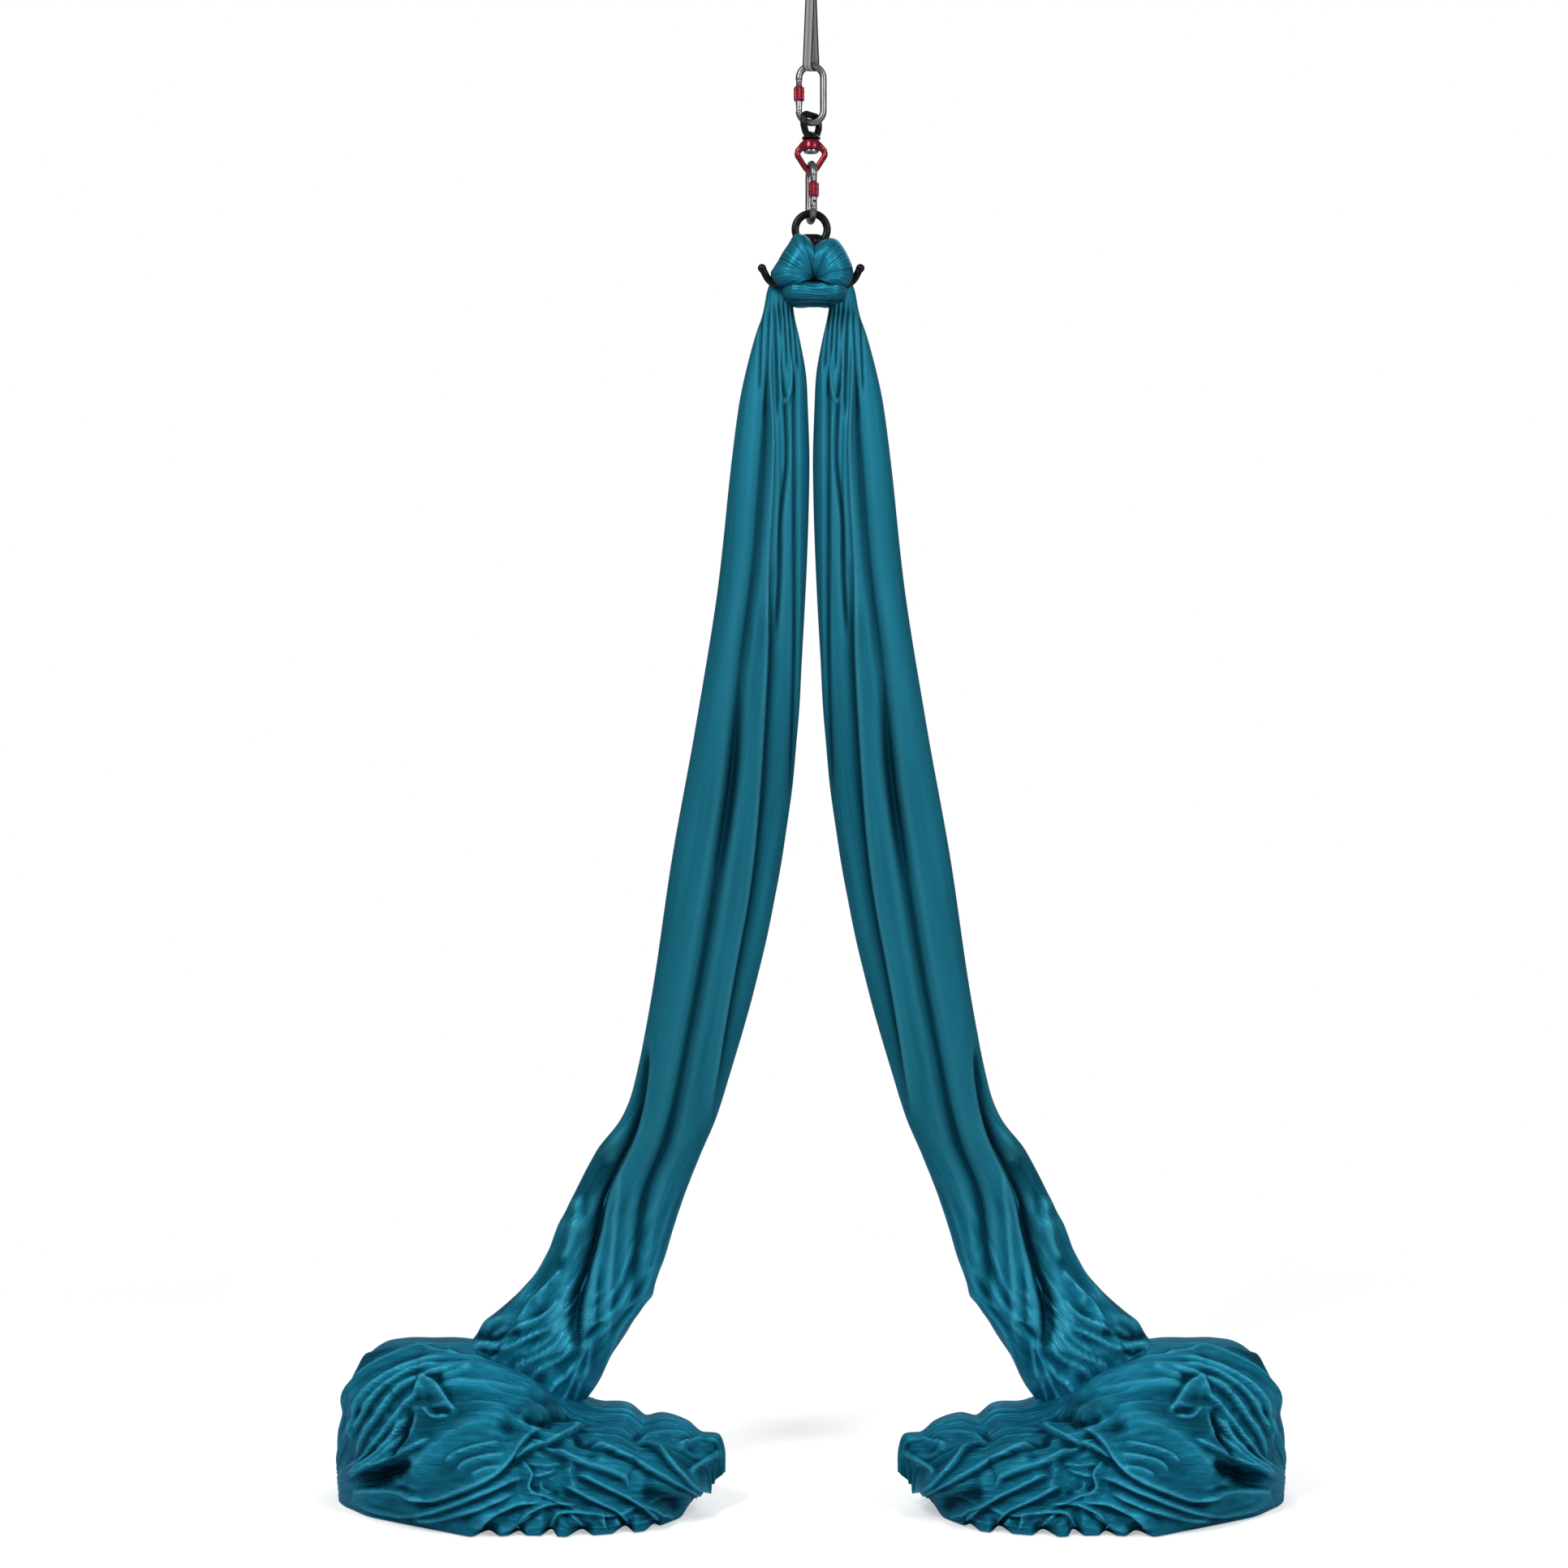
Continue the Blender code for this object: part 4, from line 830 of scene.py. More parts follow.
def seen_directly(tree):
    """1 for camera and transmission rays, 0 for the rest."""
    path = tree.nodes.new("ShaderNodeLightPath")
    rays = (path.outputs["Is Camera Ray"], path.outputs["Is Transmission Ray"])
    return calculated(tree, "MAXIMUM", *rays)


def light_world():
    """White where the camera sees it, and a weaker white that lights the object."""
    world = bpy.data.worlds.new("studio")
    bpy.context.scene.world = world
    world.use_nodes = True
    tree = world.node_tree
    tree.nodes.clear()
    direct = seen_directly(tree)
    fill = white_light(tree, "ShaderNodeBackground", WORLD_FILL)
    white = white_light(tree, "ShaderNodeBackground", 1.0)
    output = tree.nodes.new("ShaderNodeOutputWorld")
    tree.links.new(shader_mix(tree, direct, fill, white), output.inputs["Surface"])


def lay_floor():
    """A pale floor that keeps the shadow, and fades into the white world away from the object."""
    bpy.ops.object.select_all(action="DESELECT")
    bpy.ops.mesh.primitive_circle_add(
        vertices=64, radius=FLOOR_RADIUS, fill_type="NGON", location=(0, 0, FLOOR - FLOOR_DROP)
    )
    floor = bpy.context.object
    floor.name = "floor"
    look = bpy.data.materials.new("floor")
    look.use_nodes = True
    tree = look.node_tree
    tree.nodes.clear()
    direct = seen_directly(tree)
    matt = tree.nodes.new("ShaderNodeBsdfDiffuse")
    matt.inputs["Color"].default_value = (FLOOR_GREY, FLOOR_GREY, FLOOR_GREY, 1.0)
    glow = white_light(tree, "ShaderNodeEmission", product(tree, direct, FLOOR_GLOW))
    near = tree.nodes.new("ShaderNodeAddShader")
    tree.links.new(matt.outputs[0], near.inputs[0])
    tree.links.new(glow, near.inputs[1])
    far = white_light(tree, "ShaderNodeEmission", 1.0)
    reach = tree.nodes.new("ShaderNodeVectorMath")
    reach.operation = "LENGTH"
    tree.links.new(coordinates(tree, "Object"), reach.inputs[0])
    fade = mapped(tree, reach.outputs["Value"], FLOOR_FADE_START, FLOOR_FADE_END)
    shown = shader_mix(tree, product(tree, fade, direct), near.outputs[0], far)
    output = tree.nodes.new("ShaderNodeOutputMaterial")
    tree.links.new(shown, output.inputs["Surface"])
    floor.data.materials.append(look)


# Materials


def new_look(name, roughness, metallic, shine):
    """A new material, its nodes and its shader."""
    look = bpy.data.materials.new(name)
    look.use_nodes = True
    shader = look.node_tree.nodes["Principled BSDF"]
    shader.inputs["Roughness"].default_value = roughness
    shader.inputs["Metallic"].default_value = metallic
    shader.inputs["Specular IOR Level"].default_value = shine
    return look, look.node_tree, shader


def silk_look():
    """Satin nylon tricot: teal, with streaks, crinkles, a soft sheen, and painted shade and highlights."""
    look, tree, shader = new_look("silk", 0.32, 0.6, 0.25)
    shader.inputs["Specular Tint"].default_value = (*SILK_SHEEN, 1.0)
    uv = coordinates(tree, "UV")
    streak = noise(tree, stretched(tree, uv, SILK_STREAKS), 1.0, 3.0, 0.6)
    patch = noise(tree, stretched(tree, uv, SILK_PATCHES), 1.0, 2.0)
    cloudy = calculated(tree, "MULTIPLY_ADD", streak, 0.5, product(tree, patch, 0.5))
    satin = field(tree, "satin")
    # Painted shade: the teal darkens in the folds' hollows, in the knot's deep parts and under the shade tables
    deep = tinted(tree, ramp(tree, cloudy, SILK_TEALS), "painted_shade", *SILK_PAINTED_SHADE)
    # Painted highlights on the crests of the folds: faint where the cloth is plain, paler and stronger where it
    # shines
    plain = tinted(tree, deep, "painted_highlight", *PLAIN_PAINTED_HIGHLIGHT)
    pale = tinted(tree, deep, "painted_highlight", *SATIN_PAINTED_HIGHLIGHT)
    # Painted sheen: where the cloth shines its colour takes a brighter tone, and where it is plain a duller one
    colour = mixed(tree, satin, toned(tree, plain, PLAIN_TONE), toned(tree, pale, SATIN_PAINTED_SHEEN_TONE))
    tree.links.new(colour, shader.inputs["Base Color"])
    lines = noise(tree, stretched(tree, uv, SILK_LINES), 1.0, 2.0, 0.6)
    knitted = bump(tree, bands(tree, uv, "X", SILK_KNIT), *KNIT_RELIEF)
    lined = bump(tree, lines, *LINE_RELIEF, knitted)
    crinkle = noise(tree, stretched(tree, uv, SILK_CRINKLES), 1.0, 5.0, 0.62)
    crinkle = product(tree, crinkle, field(tree, "crumple"))
    crinkled = bump(tree, crinkle, *CRINKLE_RELIEF, lined)
    tree.links.new(crinkled, shader.inputs["Normal"])
    rough = grey_ramp(tree, streak, SILK_ROUGHNESS)
    gloss = product(tree, rough, mapped(tree, satin, 0.0, 1.0, PLAIN_DULLNESS, 1.0))
    tree.links.new(gloss, shader.inputs["Roughness"])
    return look


def metal_finish():
    """Node group shared by the metals: drawn grain, edges worn by handling, and fine scratches."""
    group = bpy.data.node_groups.new("metal_finish", "ShaderNodeTree")
    for name, kind in (
        ("Dark", "NodeSocketColor"), ("Light", "NodeSocketColor"), ("Worn", "NodeSocketColor"),
        ("Roughness", "NodeSocketFloat"), ("Wear", "NodeSocketFloat"),
    ):
        group.interface.new_socket(name=name, in_out="INPUT", socket_type=kind)
    for name, kind in (
        ("Color", "NodeSocketColor"), ("Roughness", "NodeSocketFloat"), ("Height", "NodeSocketFloat"),
    ):
        group.interface.new_socket(name=name, in_out="OUTPUT", socket_type=kind)
    given = group.nodes.new("NodeGroupInput").outputs
    result = group.nodes.new("NodeGroupOutput").inputs
    place = coordinates(group, "Object")
    streak = noise(group, stretched(group, place, METAL_GRAIN), 1.0, 4.0)
    cloud = noise(group, place, METAL_CLOUD, 3.0)
    grain = mixed(group, mapped(group, streak, *NOISE_RANGE), given["Dark"], given["Light"])
    pointed = group.nodes.new("ShaderNodeNewGeometry").outputs["Pointiness"]
    rubbed = product(group, mapped(group, pointed, *EDGE_RANGE), cloud)
    worn = mixed(group, product(group, rubbed, given["Wear"]), grain, given["Worn"])
    group.links.new(worn, result["Color"])
    gloss = mapped(group, cloud, *NOISE_RANGE, *GLOSS_RANGE)
    group.links.new(product(group, gloss, given["Roughness"]), result["Roughness"])
    group.links.new(noise(group, place, METAL_SCRATCHES, 5.0, 0.7), result["Height"])
    return group


def metal_look(name, finish, dark, light, worn, roughness, wear, metallic, coat, shine):
    """A metal from the shared finish: its darkest and lightest tones, and the tone of worn edges."""
    look, tree, shader = new_look(name, roughness, metallic, shine)
    shader.inputs["Coat Weight"].default_value = coat
    shader.inputs["Coat Roughness"].default_value = COAT_ROUGHNESS
    group = tree.nodes.new("ShaderNodeGroup")
    group.node_tree = finish
    group.inputs["Dark"].default_value = (*dark, 1.0)
    group.inputs["Light"].default_value = (*light, 1.0)
    group.inputs["Worn"].default_value = (*worn, 1.0)
    group.inputs["Roughness"].default_value = roughness
    group.inputs["Wear"].default_value = wear
    tree.links.new(group.outputs["Color"], shader.inputs["Base Color"])
    tree.links.new(group.outputs["Roughness"], shader.inputs["Roughness"])
    scratched = bump(tree, group.outputs["Height"], *METAL_RELIEF)
    tree.links.new(scratched, shader.inputs["Normal"])
    return look


def webbing_look():
    """Polyester webbing: grey with cross ribs, dark bands along its edges and stitching inside them."""
    look, tree, shader = new_look("webbing", 0.75, 0.0, 0.3)
    uv = coordinates(tree, "UV")
    parts = tree.nodes.new("ShaderNodeSeparateXYZ")
    tree.links.new(uv, parts.inputs["Vector"])
    ribs = bands(tree, uv, "Y", WEBBING_RIBS, 0.3)
    yarns = bands(tree, uv, "X", WEBBING_YARNS)
    weave = product(tree, ribs, yarns)
    width = product(tree, parts.outputs["X"], 1 / WEBBING_WIDTH)
    banded = grey_ramp(tree, width, WEBBING_BANDS)
    tone = mixed(tree, 1.0, ramp(tree, weave, WEBBING_GREYS), banded, "MULTIPLY")
    beat = calculated(tree, "PINGPONG", parts.outputs["Y"], STITCH_PITCH / 2)
    dash = calculated(tree, "LESS_THAN", beat, STITCH_SHARE * STITCH_PITCH)
    stitch = product(tree, grey_ramp(tree, width, STITCH_ROWS), dash)
    tree.links.new(mixed(tree, stitch, tone, THREAD_GREY), shader.inputs["Base Color"])
    woven = bump(tree, weave, *WEAVE_RELIEF)
    tree.links.new(bump(tree, stitch, *STITCH_RELIEF, woven), shader.inputs["Normal"])
    return look


# Silk


def travelled(points):
    """How far each point of a line lies from its start, along the line."""
    steps = np.linalg.norm(np.diff(points, axis=0), axis=1)
    return np.concatenate(([0.0], np.cumsum(steps)))


def along_stations(table, places):
    """Read a table of stations at distances along it, on one smooth curve."""
    rows = np.array(table, float)
    knots = travelled(rows[:, :3])
    return hermite(knots, rows, places * knots[-1]), knots[-1]


def hermite(knots, rows, wanted):
    """Rows read at the wanted places, on a smooth curve through their knots."""
    slopes = np.zeros_like(rows)
    slopes[1:-1] = (rows[2:] - rows[:-2]) / (knots[2:] - knots[:-2])[:, None]
    slopes[0] = (rows[1] - rows[0]) / (knots[1] - knots[0])
    slopes[-1] = (rows[-1] - rows[-2]) / (knots[-1] - knots[-2])
    index = np.clip(np.searchsorted(knots, wanted, side="right") - 1, 0, len(knots) - 2)
    span = (knots[index + 1] - knots[index])[:, None]
    t = (wanted - knots[index])[:, None] / span
    return (
        rows[index] * (2 * t**3 - 3 * t**2 + 1)
        + slopes[index] * span * (t**3 - 2 * t**2 + t)
        + rows[index + 1] * (3 * t**2 - 2 * t**3)
        + slopes[index + 1] * span * (t**3 - t**2)
    )


def eased(value):
    """A share from 0 to 1 with a soft start and end."""
    value = np.clip(value, 0, 1)
    return value * value * (3 - 2 * value)


def lattice_noise(x, y, seed, period=64):
    """Smooth noise from -1 to 1 over a plane, the same in each run."""
    table = np.random.default_rng(seed).uniform(-1, 1, (period, period))
    x0 = np.floor(x).astype(int)
    y0 = np.floor(y).astype(int)
    fx = eased(x - x0)
    fy = eased(y - y0)
    near = table[x0 % period, y0 % period] * (1 - fx) + table[(x0 + 1) % period, y0 % period] * fx
    far = (
        table[x0 % period, (y0 + 1) % period] * (1 - fx)
        + table[(x0 + 1) % period, (y0 + 1) % period] * fx
    )
    return near * (1 - fy) + far * fy


def blurred(field, reach):
    """A field averaged over neighbours up to reach steps away, twice, on both axes."""
    for axis in (0, 1, 0, 1):
        padding = [(0, 0), (0, 0)]
        padding[axis] = (reach + 1, reach)
        total = np.cumsum(np.pad(field, padding, mode="edge"), axis=axis)
        size = field.shape[axis]
        upper = np.take(total, np.arange(2 * reach + 1, 2 * reach + 1 + size), axis=axis)
        lower = np.take(total, np.arange(0, size), axis=axis)
        field = (upper - lower) / (2 * reach + 1)
    return field


def creases(u, v, across, along, warp, seed):
    """Sharp crossed wrinkles from -1 to 1, so many to a metre, bent by a slower warp."""
    return 1 - 2 * np.abs(lattice_noise(u * across + 1.5 * warp, v * along + warp, seed))


def smooth_line(points, pieces=6):
    """A smooth curve through given points."""
    points = np.array(points, float)
    knots = travelled(points)
    return hermite(knots, points, np.linspace(0, knots[-1], pieces * (len(points) - 1) + 1))


def near_line(x, z, line, reach):
    """Which points lie in the box that a line and its reach take up."""
    low = line.min(axis=0) - reach
    high = line.max(axis=0) + reach
    return (x > low[0]) & (x < high[0]) & (z > low[1]) & (z < high[1])


def fold_shape(x, z, line, gentle, steep, height):
    """1 along a line, falling away slowly on its left side and fast on its right."""
    runs = np.diff(line, axis=0)
    lengths = np.linalg.norm(runs, axis=1)
    passed = travelled(line)
    fade = max(FADE_HEIGHTS * abs(height), FADE_WIDTHS * max(gentle, steep)) / passed[-1]
    fade = np.clip(fade, FADE_LEAST, FADE_MOST)
    nearest = np.full(x.shape, np.inf)
    side = np.zeros(x.shape)
    along = np.zeros(x.shape)
    for start, run, length, before in zip(line[:-1], runs, lengths, passed):
        dx = x - start[0]
        dz = z - start[1]
        t = np.clip((dx * run[0] + dz * run[1]) / length**2, 0, 1)
        distance = np.hypot(dx - t * run[0], dz - t * run[1])
        nearer = distance < nearest
        nearest = np.where(nearer, distance, nearest)
        side = np.where(nearer, run[0] * dz - run[1] * dx, side)
        along = np.where(nearer, before + t * length, along)
    share = along / passed[-1]
    ends = eased(share / fade) * eased((1 - share) / fade)
    left = np.clip(1 - nearest / gentle, 0, 1) ** SLOW_SIDE_CURVE
    right = 1 - eased(nearest / steep)
    return ends * np.where(side > 0, left, right)


def fold_relief(x, z, folds):
    """Height of the folds at points of the photograph's plane, all in millimetres."""
    total = np.zeros(x.shape)
    for height, gentle, steep, line in folds:
        line = smooth_line(line)
        near = near_line(x, z, line, max(gentle, steep))
        total[near] += height * fold_shape(x[near], z[near], line, gentle, steep, height)
    return total


def in_shadow(x, z, shades):
    """How deep in shadow points of the photograph's plane are, from 0 to 1."""
    total = np.zeros(x.shape)
    for dark, reach, line in shades:
        line = smooth_line(line)
        near = near_line(x, z, line, reach)
        patch = dark * fold_shape(x[near], z[near], line, reach * SHADE_SLOW_SIDE, reach, reach)
        total[near] = np.maximum(total[near], patch)
    return total


def seen_at(points):
    """Where the camera sees points, in millimetres: out from the rig's line, and up from the heap."""
    scale = CAMERA_DISTANCE / (CAMERA_DISTANCE + points[..., 1])
    middle = photo_z(PHOTO_SIDE_PX / 2)
    height = middle + (points[..., 2] - middle) * scale
    return 1000 * points[..., 0] * scale, 1000 * (height - photo_z(HEAP_FRONT_ROW_PX))


def outward(points):
    """Unit normals of a grid of points."""
    along = np.gradient(points, axis=0)
    across = np.gradient(points, axis=1)
    normal = np.cross(across, along)
    return normal / np.maximum(np.linalg.norm(normal, axis=2, keepdims=True), 1e-9)


def grid_sheet(name, patches, look):
    """One mesh of cloth from patches, each a grid of points with its UV map in metres and its fields."""
    places = []
    corners = []
    maps = []
    fields = {field_name: [] for field_name in CLOTH_FIELDS}
    first = 0
    for points, uv, marks in patches:
        rows, columns = points.shape[:2]
        index = first + np.arange(rows * columns).reshape(rows, columns)
        faces = np.stack((index[:-1, :-1], index[:-1, 1:], index[1:, 1:], index[1:, :-1]), axis=-1)
        places.append(points.reshape(-1, 3))
        corners.append(faces.reshape(-1, 4))
        maps.append(uv.reshape(-1, 2))
        for field_name, values in marks.items():
            fields[field_name].append(values.reshape(-1))
        first += rows * columns
    places = np.concatenate(places)
    corners = np.concatenate(corners)
    mesh = bpy.data.meshes.new(name)
    mesh.vertices.add(len(places))
    mesh.vertices.foreach_set("co", places.reshape(-1).astype(np.float32))
    mesh.loops.add(corners.size)
    mesh.loops.foreach_set("vertex_index", corners.reshape(-1).astype(np.int32))
    mesh.polygons.add(len(corners))
    mesh.polygons.foreach_set("loop_start", np.arange(0, corners.size, 4, dtype=np.int32))
    mesh.update(calc_edges=True)
    mesh.validate()
    layer = mesh.uv_layers.new(name="cloth")
    spread = np.concatenate(maps)[corners.reshape(-1)]
    layer.data.foreach_set("uv", spread.reshape(-1).astype(np.float32))
    mesh.polygons.foreach_set("use_smooth", np.ones(len(corners), bool))
    for field_name, values in fields.items():
        attribute = mesh.attributes.new(field_name, "FLOAT", "POINT")
        attribute.data.foreach_set("value", np.concatenate(values).astype(np.float32))
    mesh.materials.append(look)
    piece = bpy.data.objects.new(name, mesh)
    bpy.context.scene.collection.objects.link(piece)
    return piece


def cloth_map(across, along):
    """UV map of a patch from its distances across and along the cloth, in metres."""
    return np.stack(np.broadcast_arrays(across, along), axis=-1)


def shaded(folds, crumple, fine=FINE_FOLD, broad=BROAD_FOLD, shade=0.0, satin=1.0):
    """Fields: painted shade of the folds' hollows, painted highlight of their crests, crumple, shine."""
    rim = folds - blurred(folds, RIM_STEPS)
    contrast = folds - blurred(folds, FINE_STEPS)
    wide = folds - blurred(folds, BROAD_STEPS)
    painted_shade = np.maximum(-contrast / fine, -wide / broad)
    lit = 1 - SHADE_ON_CREST * np.clip(shade, 0, 1)
    return {
        "painted_shade": np.clip(np.maximum(painted_shade, shade), 0, 1),
        "painted_highlight": np.clip(rim / (RIM_SHARE * fine), 0, 1) * lit,
        "crumple": crumple,
        "satin": satin + 0 * folds,
    }


def even_section(across, front, columns):
    """The same curve with its points spread evenly along it, for each row."""
    steps = np.hypot(np.diff(across, axis=1), np.diff(front, axis=1))
    travel = np.concatenate((np.zeros((len(across), 1)), np.cumsum(steps, axis=1)), axis=1)
    wanted = np.linspace(0, 1, columns)
    even = np.empty((len(across), columns, 2))
    for row in range(len(across)):
        places = wanted * travel[row, -1]
        even[row, :, 0] = np.interp(places, travel[row], across[row])
        even[row, :, 1] = np.interp(places, travel[row], front[row])
    return even


def back_pleats(share, angle):
    """How far each pleat of a tail's back and sides sinks in, for each section and angle."""
    places = np.array(PLEAT_PLACES)
    depth = np.zeros((TAIL_ROWS, SECTION_SAMPLES))
    for number, pleat in enumerate(BACK_PLEATS):
        middle = np.interp(share, places, np.radians(np.array(pleat[:3], float)))
        wander = lattice_noise(share * 9 + number * 3.7, np.full_like(share, 0.5 + number), 11)
        middle = middle + PLEAT_WANDER * wander
        deep = np.interp(share, places, pleat[4:7])
        wide = math.radians(pleat[3])
        gap = (angle[None, :] - middle[:, None] + math.pi) % (2 * math.pi) - math.pi
        depth += deep[:, None] * np.exp(-((gap / wide) ** 2))
    return depth


def inner_turns(outer, thick):
    """The cloth's other half, rolled up inside the tail in wavy turns."""
    turn_in = np.linspace(0.0, 1.0, SECTION_SAMPLES)
    spiral = np.radians(-90 + BACK_OPENING - INNER_TURN * (1 - turn_in))
    waves = INNER_WAVE * np.sin(INNER_WAVES * 2 * math.pi * turn_in) * np.sin(math.pi * turn_in)
    start, growth, flare = INNER_REACH
    share_out = ((start + growth * turn_in + flare * turn_in**8) * (1 + waves))[None, :]
    return even_section(
        outer * np.cos(spiral)[None, :] * share_out, thick * np.sin(spiral)[None, :] * share_out,
        INSIDE_COLUMNS,
    )


def tail_points():
    """Points of the right-hand tail, one row a section, with its UV map and fields."""
    share = np.linspace(0.0, 1.0, TAIL_ROWS)
    stations, length = along_stations(TAIL_STATIONS, share)
    centre = stations[:, :3]
    outer, thick = (stations[:, column, None] for column in (3, 4))
    angle = np.radians(np.linspace(-90 + BACK_OPENING, 270 - BACK_OPENING, SECTION_SAMPLES))
    cosine = np.cos(angle)[None, :]
    sine = np.sin(angle)[None, :]
    radius = np.hypot(outer * cosine, thick * sine)
    limit = np.minimum(radius * DEEPEST_PLEAT, back_pleats(share, angle))
    shrink = 1 - limit / radius
    outside = even_section(outer * cosine * shrink, thick * sine * shrink, OUTSIDE_COLUMNS)
    section = np.concatenate((inner_turns(outer, thick)[:, :-1], outside), axis=1)
    points = np.tile(centre[:, None, :], (1, section.shape[1], 1))
    points[:, :, 0] += section[:, :, 0]
    points[:, :, 1] -= section[:, :, 1]
    facing = eased(section[:, :, 1] / (FACING * thick) + 0.2)
    facing[:, :INSIDE_COLUMNS] = 0
    x, z = seen_at(points)
    folds = 0.001 * facing * fold_relief(x, z, TAIL_FOLDS)
    uv = cloth_map(np.linspace(0, CLOTH_WIDTH, section.shape[1])[None, :], (share * length)[:, None])
    u, v = uv[..., 0], uv[..., 1]
    crumpled = eased((v - CRUMPLE_START) / CRUMPLE_RUN)
    warp = lattice_noise(u * 6, v * 5, 31)
    sharp = TAIL_CREASE * creases(u, v, 22, 17, warp, 53)
    folds += TAIL_RIPPLE * lattice_noise(u * 14 + warp, v * 2.2, 41)
    folds += crumpled * (sharp + TAIL_GRAIN * lattice_noise(u * 60, v * 50 + 2 * warp, 67))
    folds[:, :INSIDE_COLUMNS] = 0
    points = points + outward(points) * folds[:, :, None]
    shade = facing * in_shadow(x, z, TAIL_SHADES)
    return points, uv, shaded(folds, crumpled, shade=shade, satin=crumpled)


def heap_points():
    """Points of the right-hand heap: sections across it from its outer end to the hem."""
    share = np.linspace(0.0, 1.0, HEAP_ROWS)
    stations, length = along_stations(HEAP_STATIONS, share)
    place, height, top, toe, back, shear = (stations[:, column, None] for column in range(6))
    height = np.maximum(height, HEAP_LEAST_HEIGHT)
    rise = np.linspace(0, math.pi / 2, SECTION_SAMPLES // 3)[None, :]
    bulge = np.cos(rise) ** HEAP_FULLNESS
    lift = height * np.sin(rise) ** HEAP_FULLNESS
    front = even_section(top + (toe - top) * bulge, lift, HEAP_FRONT_COLUMNS)
    rear = even_section(top + (back - top) * bulge, lift, HEAP_BACK_COLUMNS)[:, ::-1]
    inward = np.linspace(0, 1, HEAP_UNDER_COLUMNS)[None, :]
    middle = top + UNDER_SLIT * (toe - top)
    zero = np.zeros_like(place) * inward
    under_front = np.stack((middle - UNDER_SLIT_HALF + (toe - middle) * inward, zero), axis=-1)
    under_back = np.stack((back + (middle + UNDER_SLIT_HALF - back) * inward, zero), axis=-1)
    section = np.concatenate((under_front[:, :-1], front, rear[:, 1:], under_back[:, 1:]), axis=1)
    depth = section[:, :, 0]
    level = section[:, :, 1]
    points = np.stack((
        place + shear * (1 - level / height), depth, FLOOR + FLOOR_CLEARANCE + level,
    ), axis=-1)
    mouth = sum(deep * (1 - eased(np.abs(place - spot) / wide)) for spot, deep, wide in PLEAT_MOUTHS)
    near_toe = np.clip((middle - depth) / (middle - toe), 0, 1)
    points[:, :, 1] += mouth * near_toe * (1 - eased(level / MOUTH_HEIGHT))
    x, z = seen_at(points)
    facing = eased(-outward(points)[:, :, 1] / FACING)
    is_front = facing * eased((top + BROW_SHIFT - depth) / BROW_RUN)
    folds = 0.001 * is_front * fold_relief(x, z, HEAP_FOLDS)
    is_back = eased((outward(points)[:, :, 1] - FACING) / BACK_RUN) * eased(height / BACK_FULL_HEIGHT)
    folds += 0.001 * is_back * fold_relief(HEAP_BACK_MIRROR - x, z, HEAP_FOLDS)
    uv = cloth_map(np.linspace(0, CLOTH_WIDTH, section.shape[1])[None, :], (share * length)[:, None])
    u, v = uv[..., 0], uv[..., 1]
    warp = lattice_noise(u * 5, v * 6, 71)
    folds += HEAP_CREASE * creases(u, v, 9, 9, warp, 83) + HEAP_SWELL * lattice_noise(u * 4, v * 4, 89)
    folds += HEAP_GRAIN * lattice_noise(u * 40, v * 45 + 2 * warp, 97)
    folds *= eased(level / SMOOTH_FOOT)
    points = points + outward(points) * folds[:, :, None]
    points[:, :, 2] = np.maximum(points[:, :, 2], FLOOR + FLOOR_CLEARANCE)
    shade = is_front * in_shadow(x, z, HEAP_SHADES)
    return points, uv, shaded(folds, np.ones_like(folds), shade=shade)


def mirrored(patch, side):
    """A patch for the right side as it is, or turned over for the left side."""
    points, uv, marks = patch
    if side > 0:
        return patch
    points = points[:, ::-1] * np.array((-1.0, 1.0, 1.0))
    return points, uv[:, ::-1], {field: values[:, ::-1] for field, values in marks.items()}


def hang_silk(look):
    """Both tails and both heaps, each heap on its tail's body."""
    tail = tail_points()
    heap = heap_points()
    for name, side in (("right", 1.0), ("left", -1.0)):
        strand = grid_sheet(f"silk_{name}", [mirrored(tail, side)], look)
        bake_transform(strand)
        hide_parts(f"silk_{name}_tail")
        pile = grid_sheet(f"silk_{name}_pile", [mirrored(heap, side)], look)
        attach(pile, f"{name}_tail")
        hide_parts(f"silk_{name}_heap")


# Knot


def pleated(share, count, lean=1.2):
    """Lopsided pleats from 0 to 1 across a share of the way round."""
    turn = 2 * math.pi * count * share
    return 0.5 + 0.5 * np.sin(turn + lean * np.sin(turn))


def darker(marks, *amounts):
    """Deepen a patch's painted shade, step by step."""
    for amount in amounts:
        marks["painted_shade"] = np.clip(marks["painted_shade"] + amount, 0, 1)
    return marks


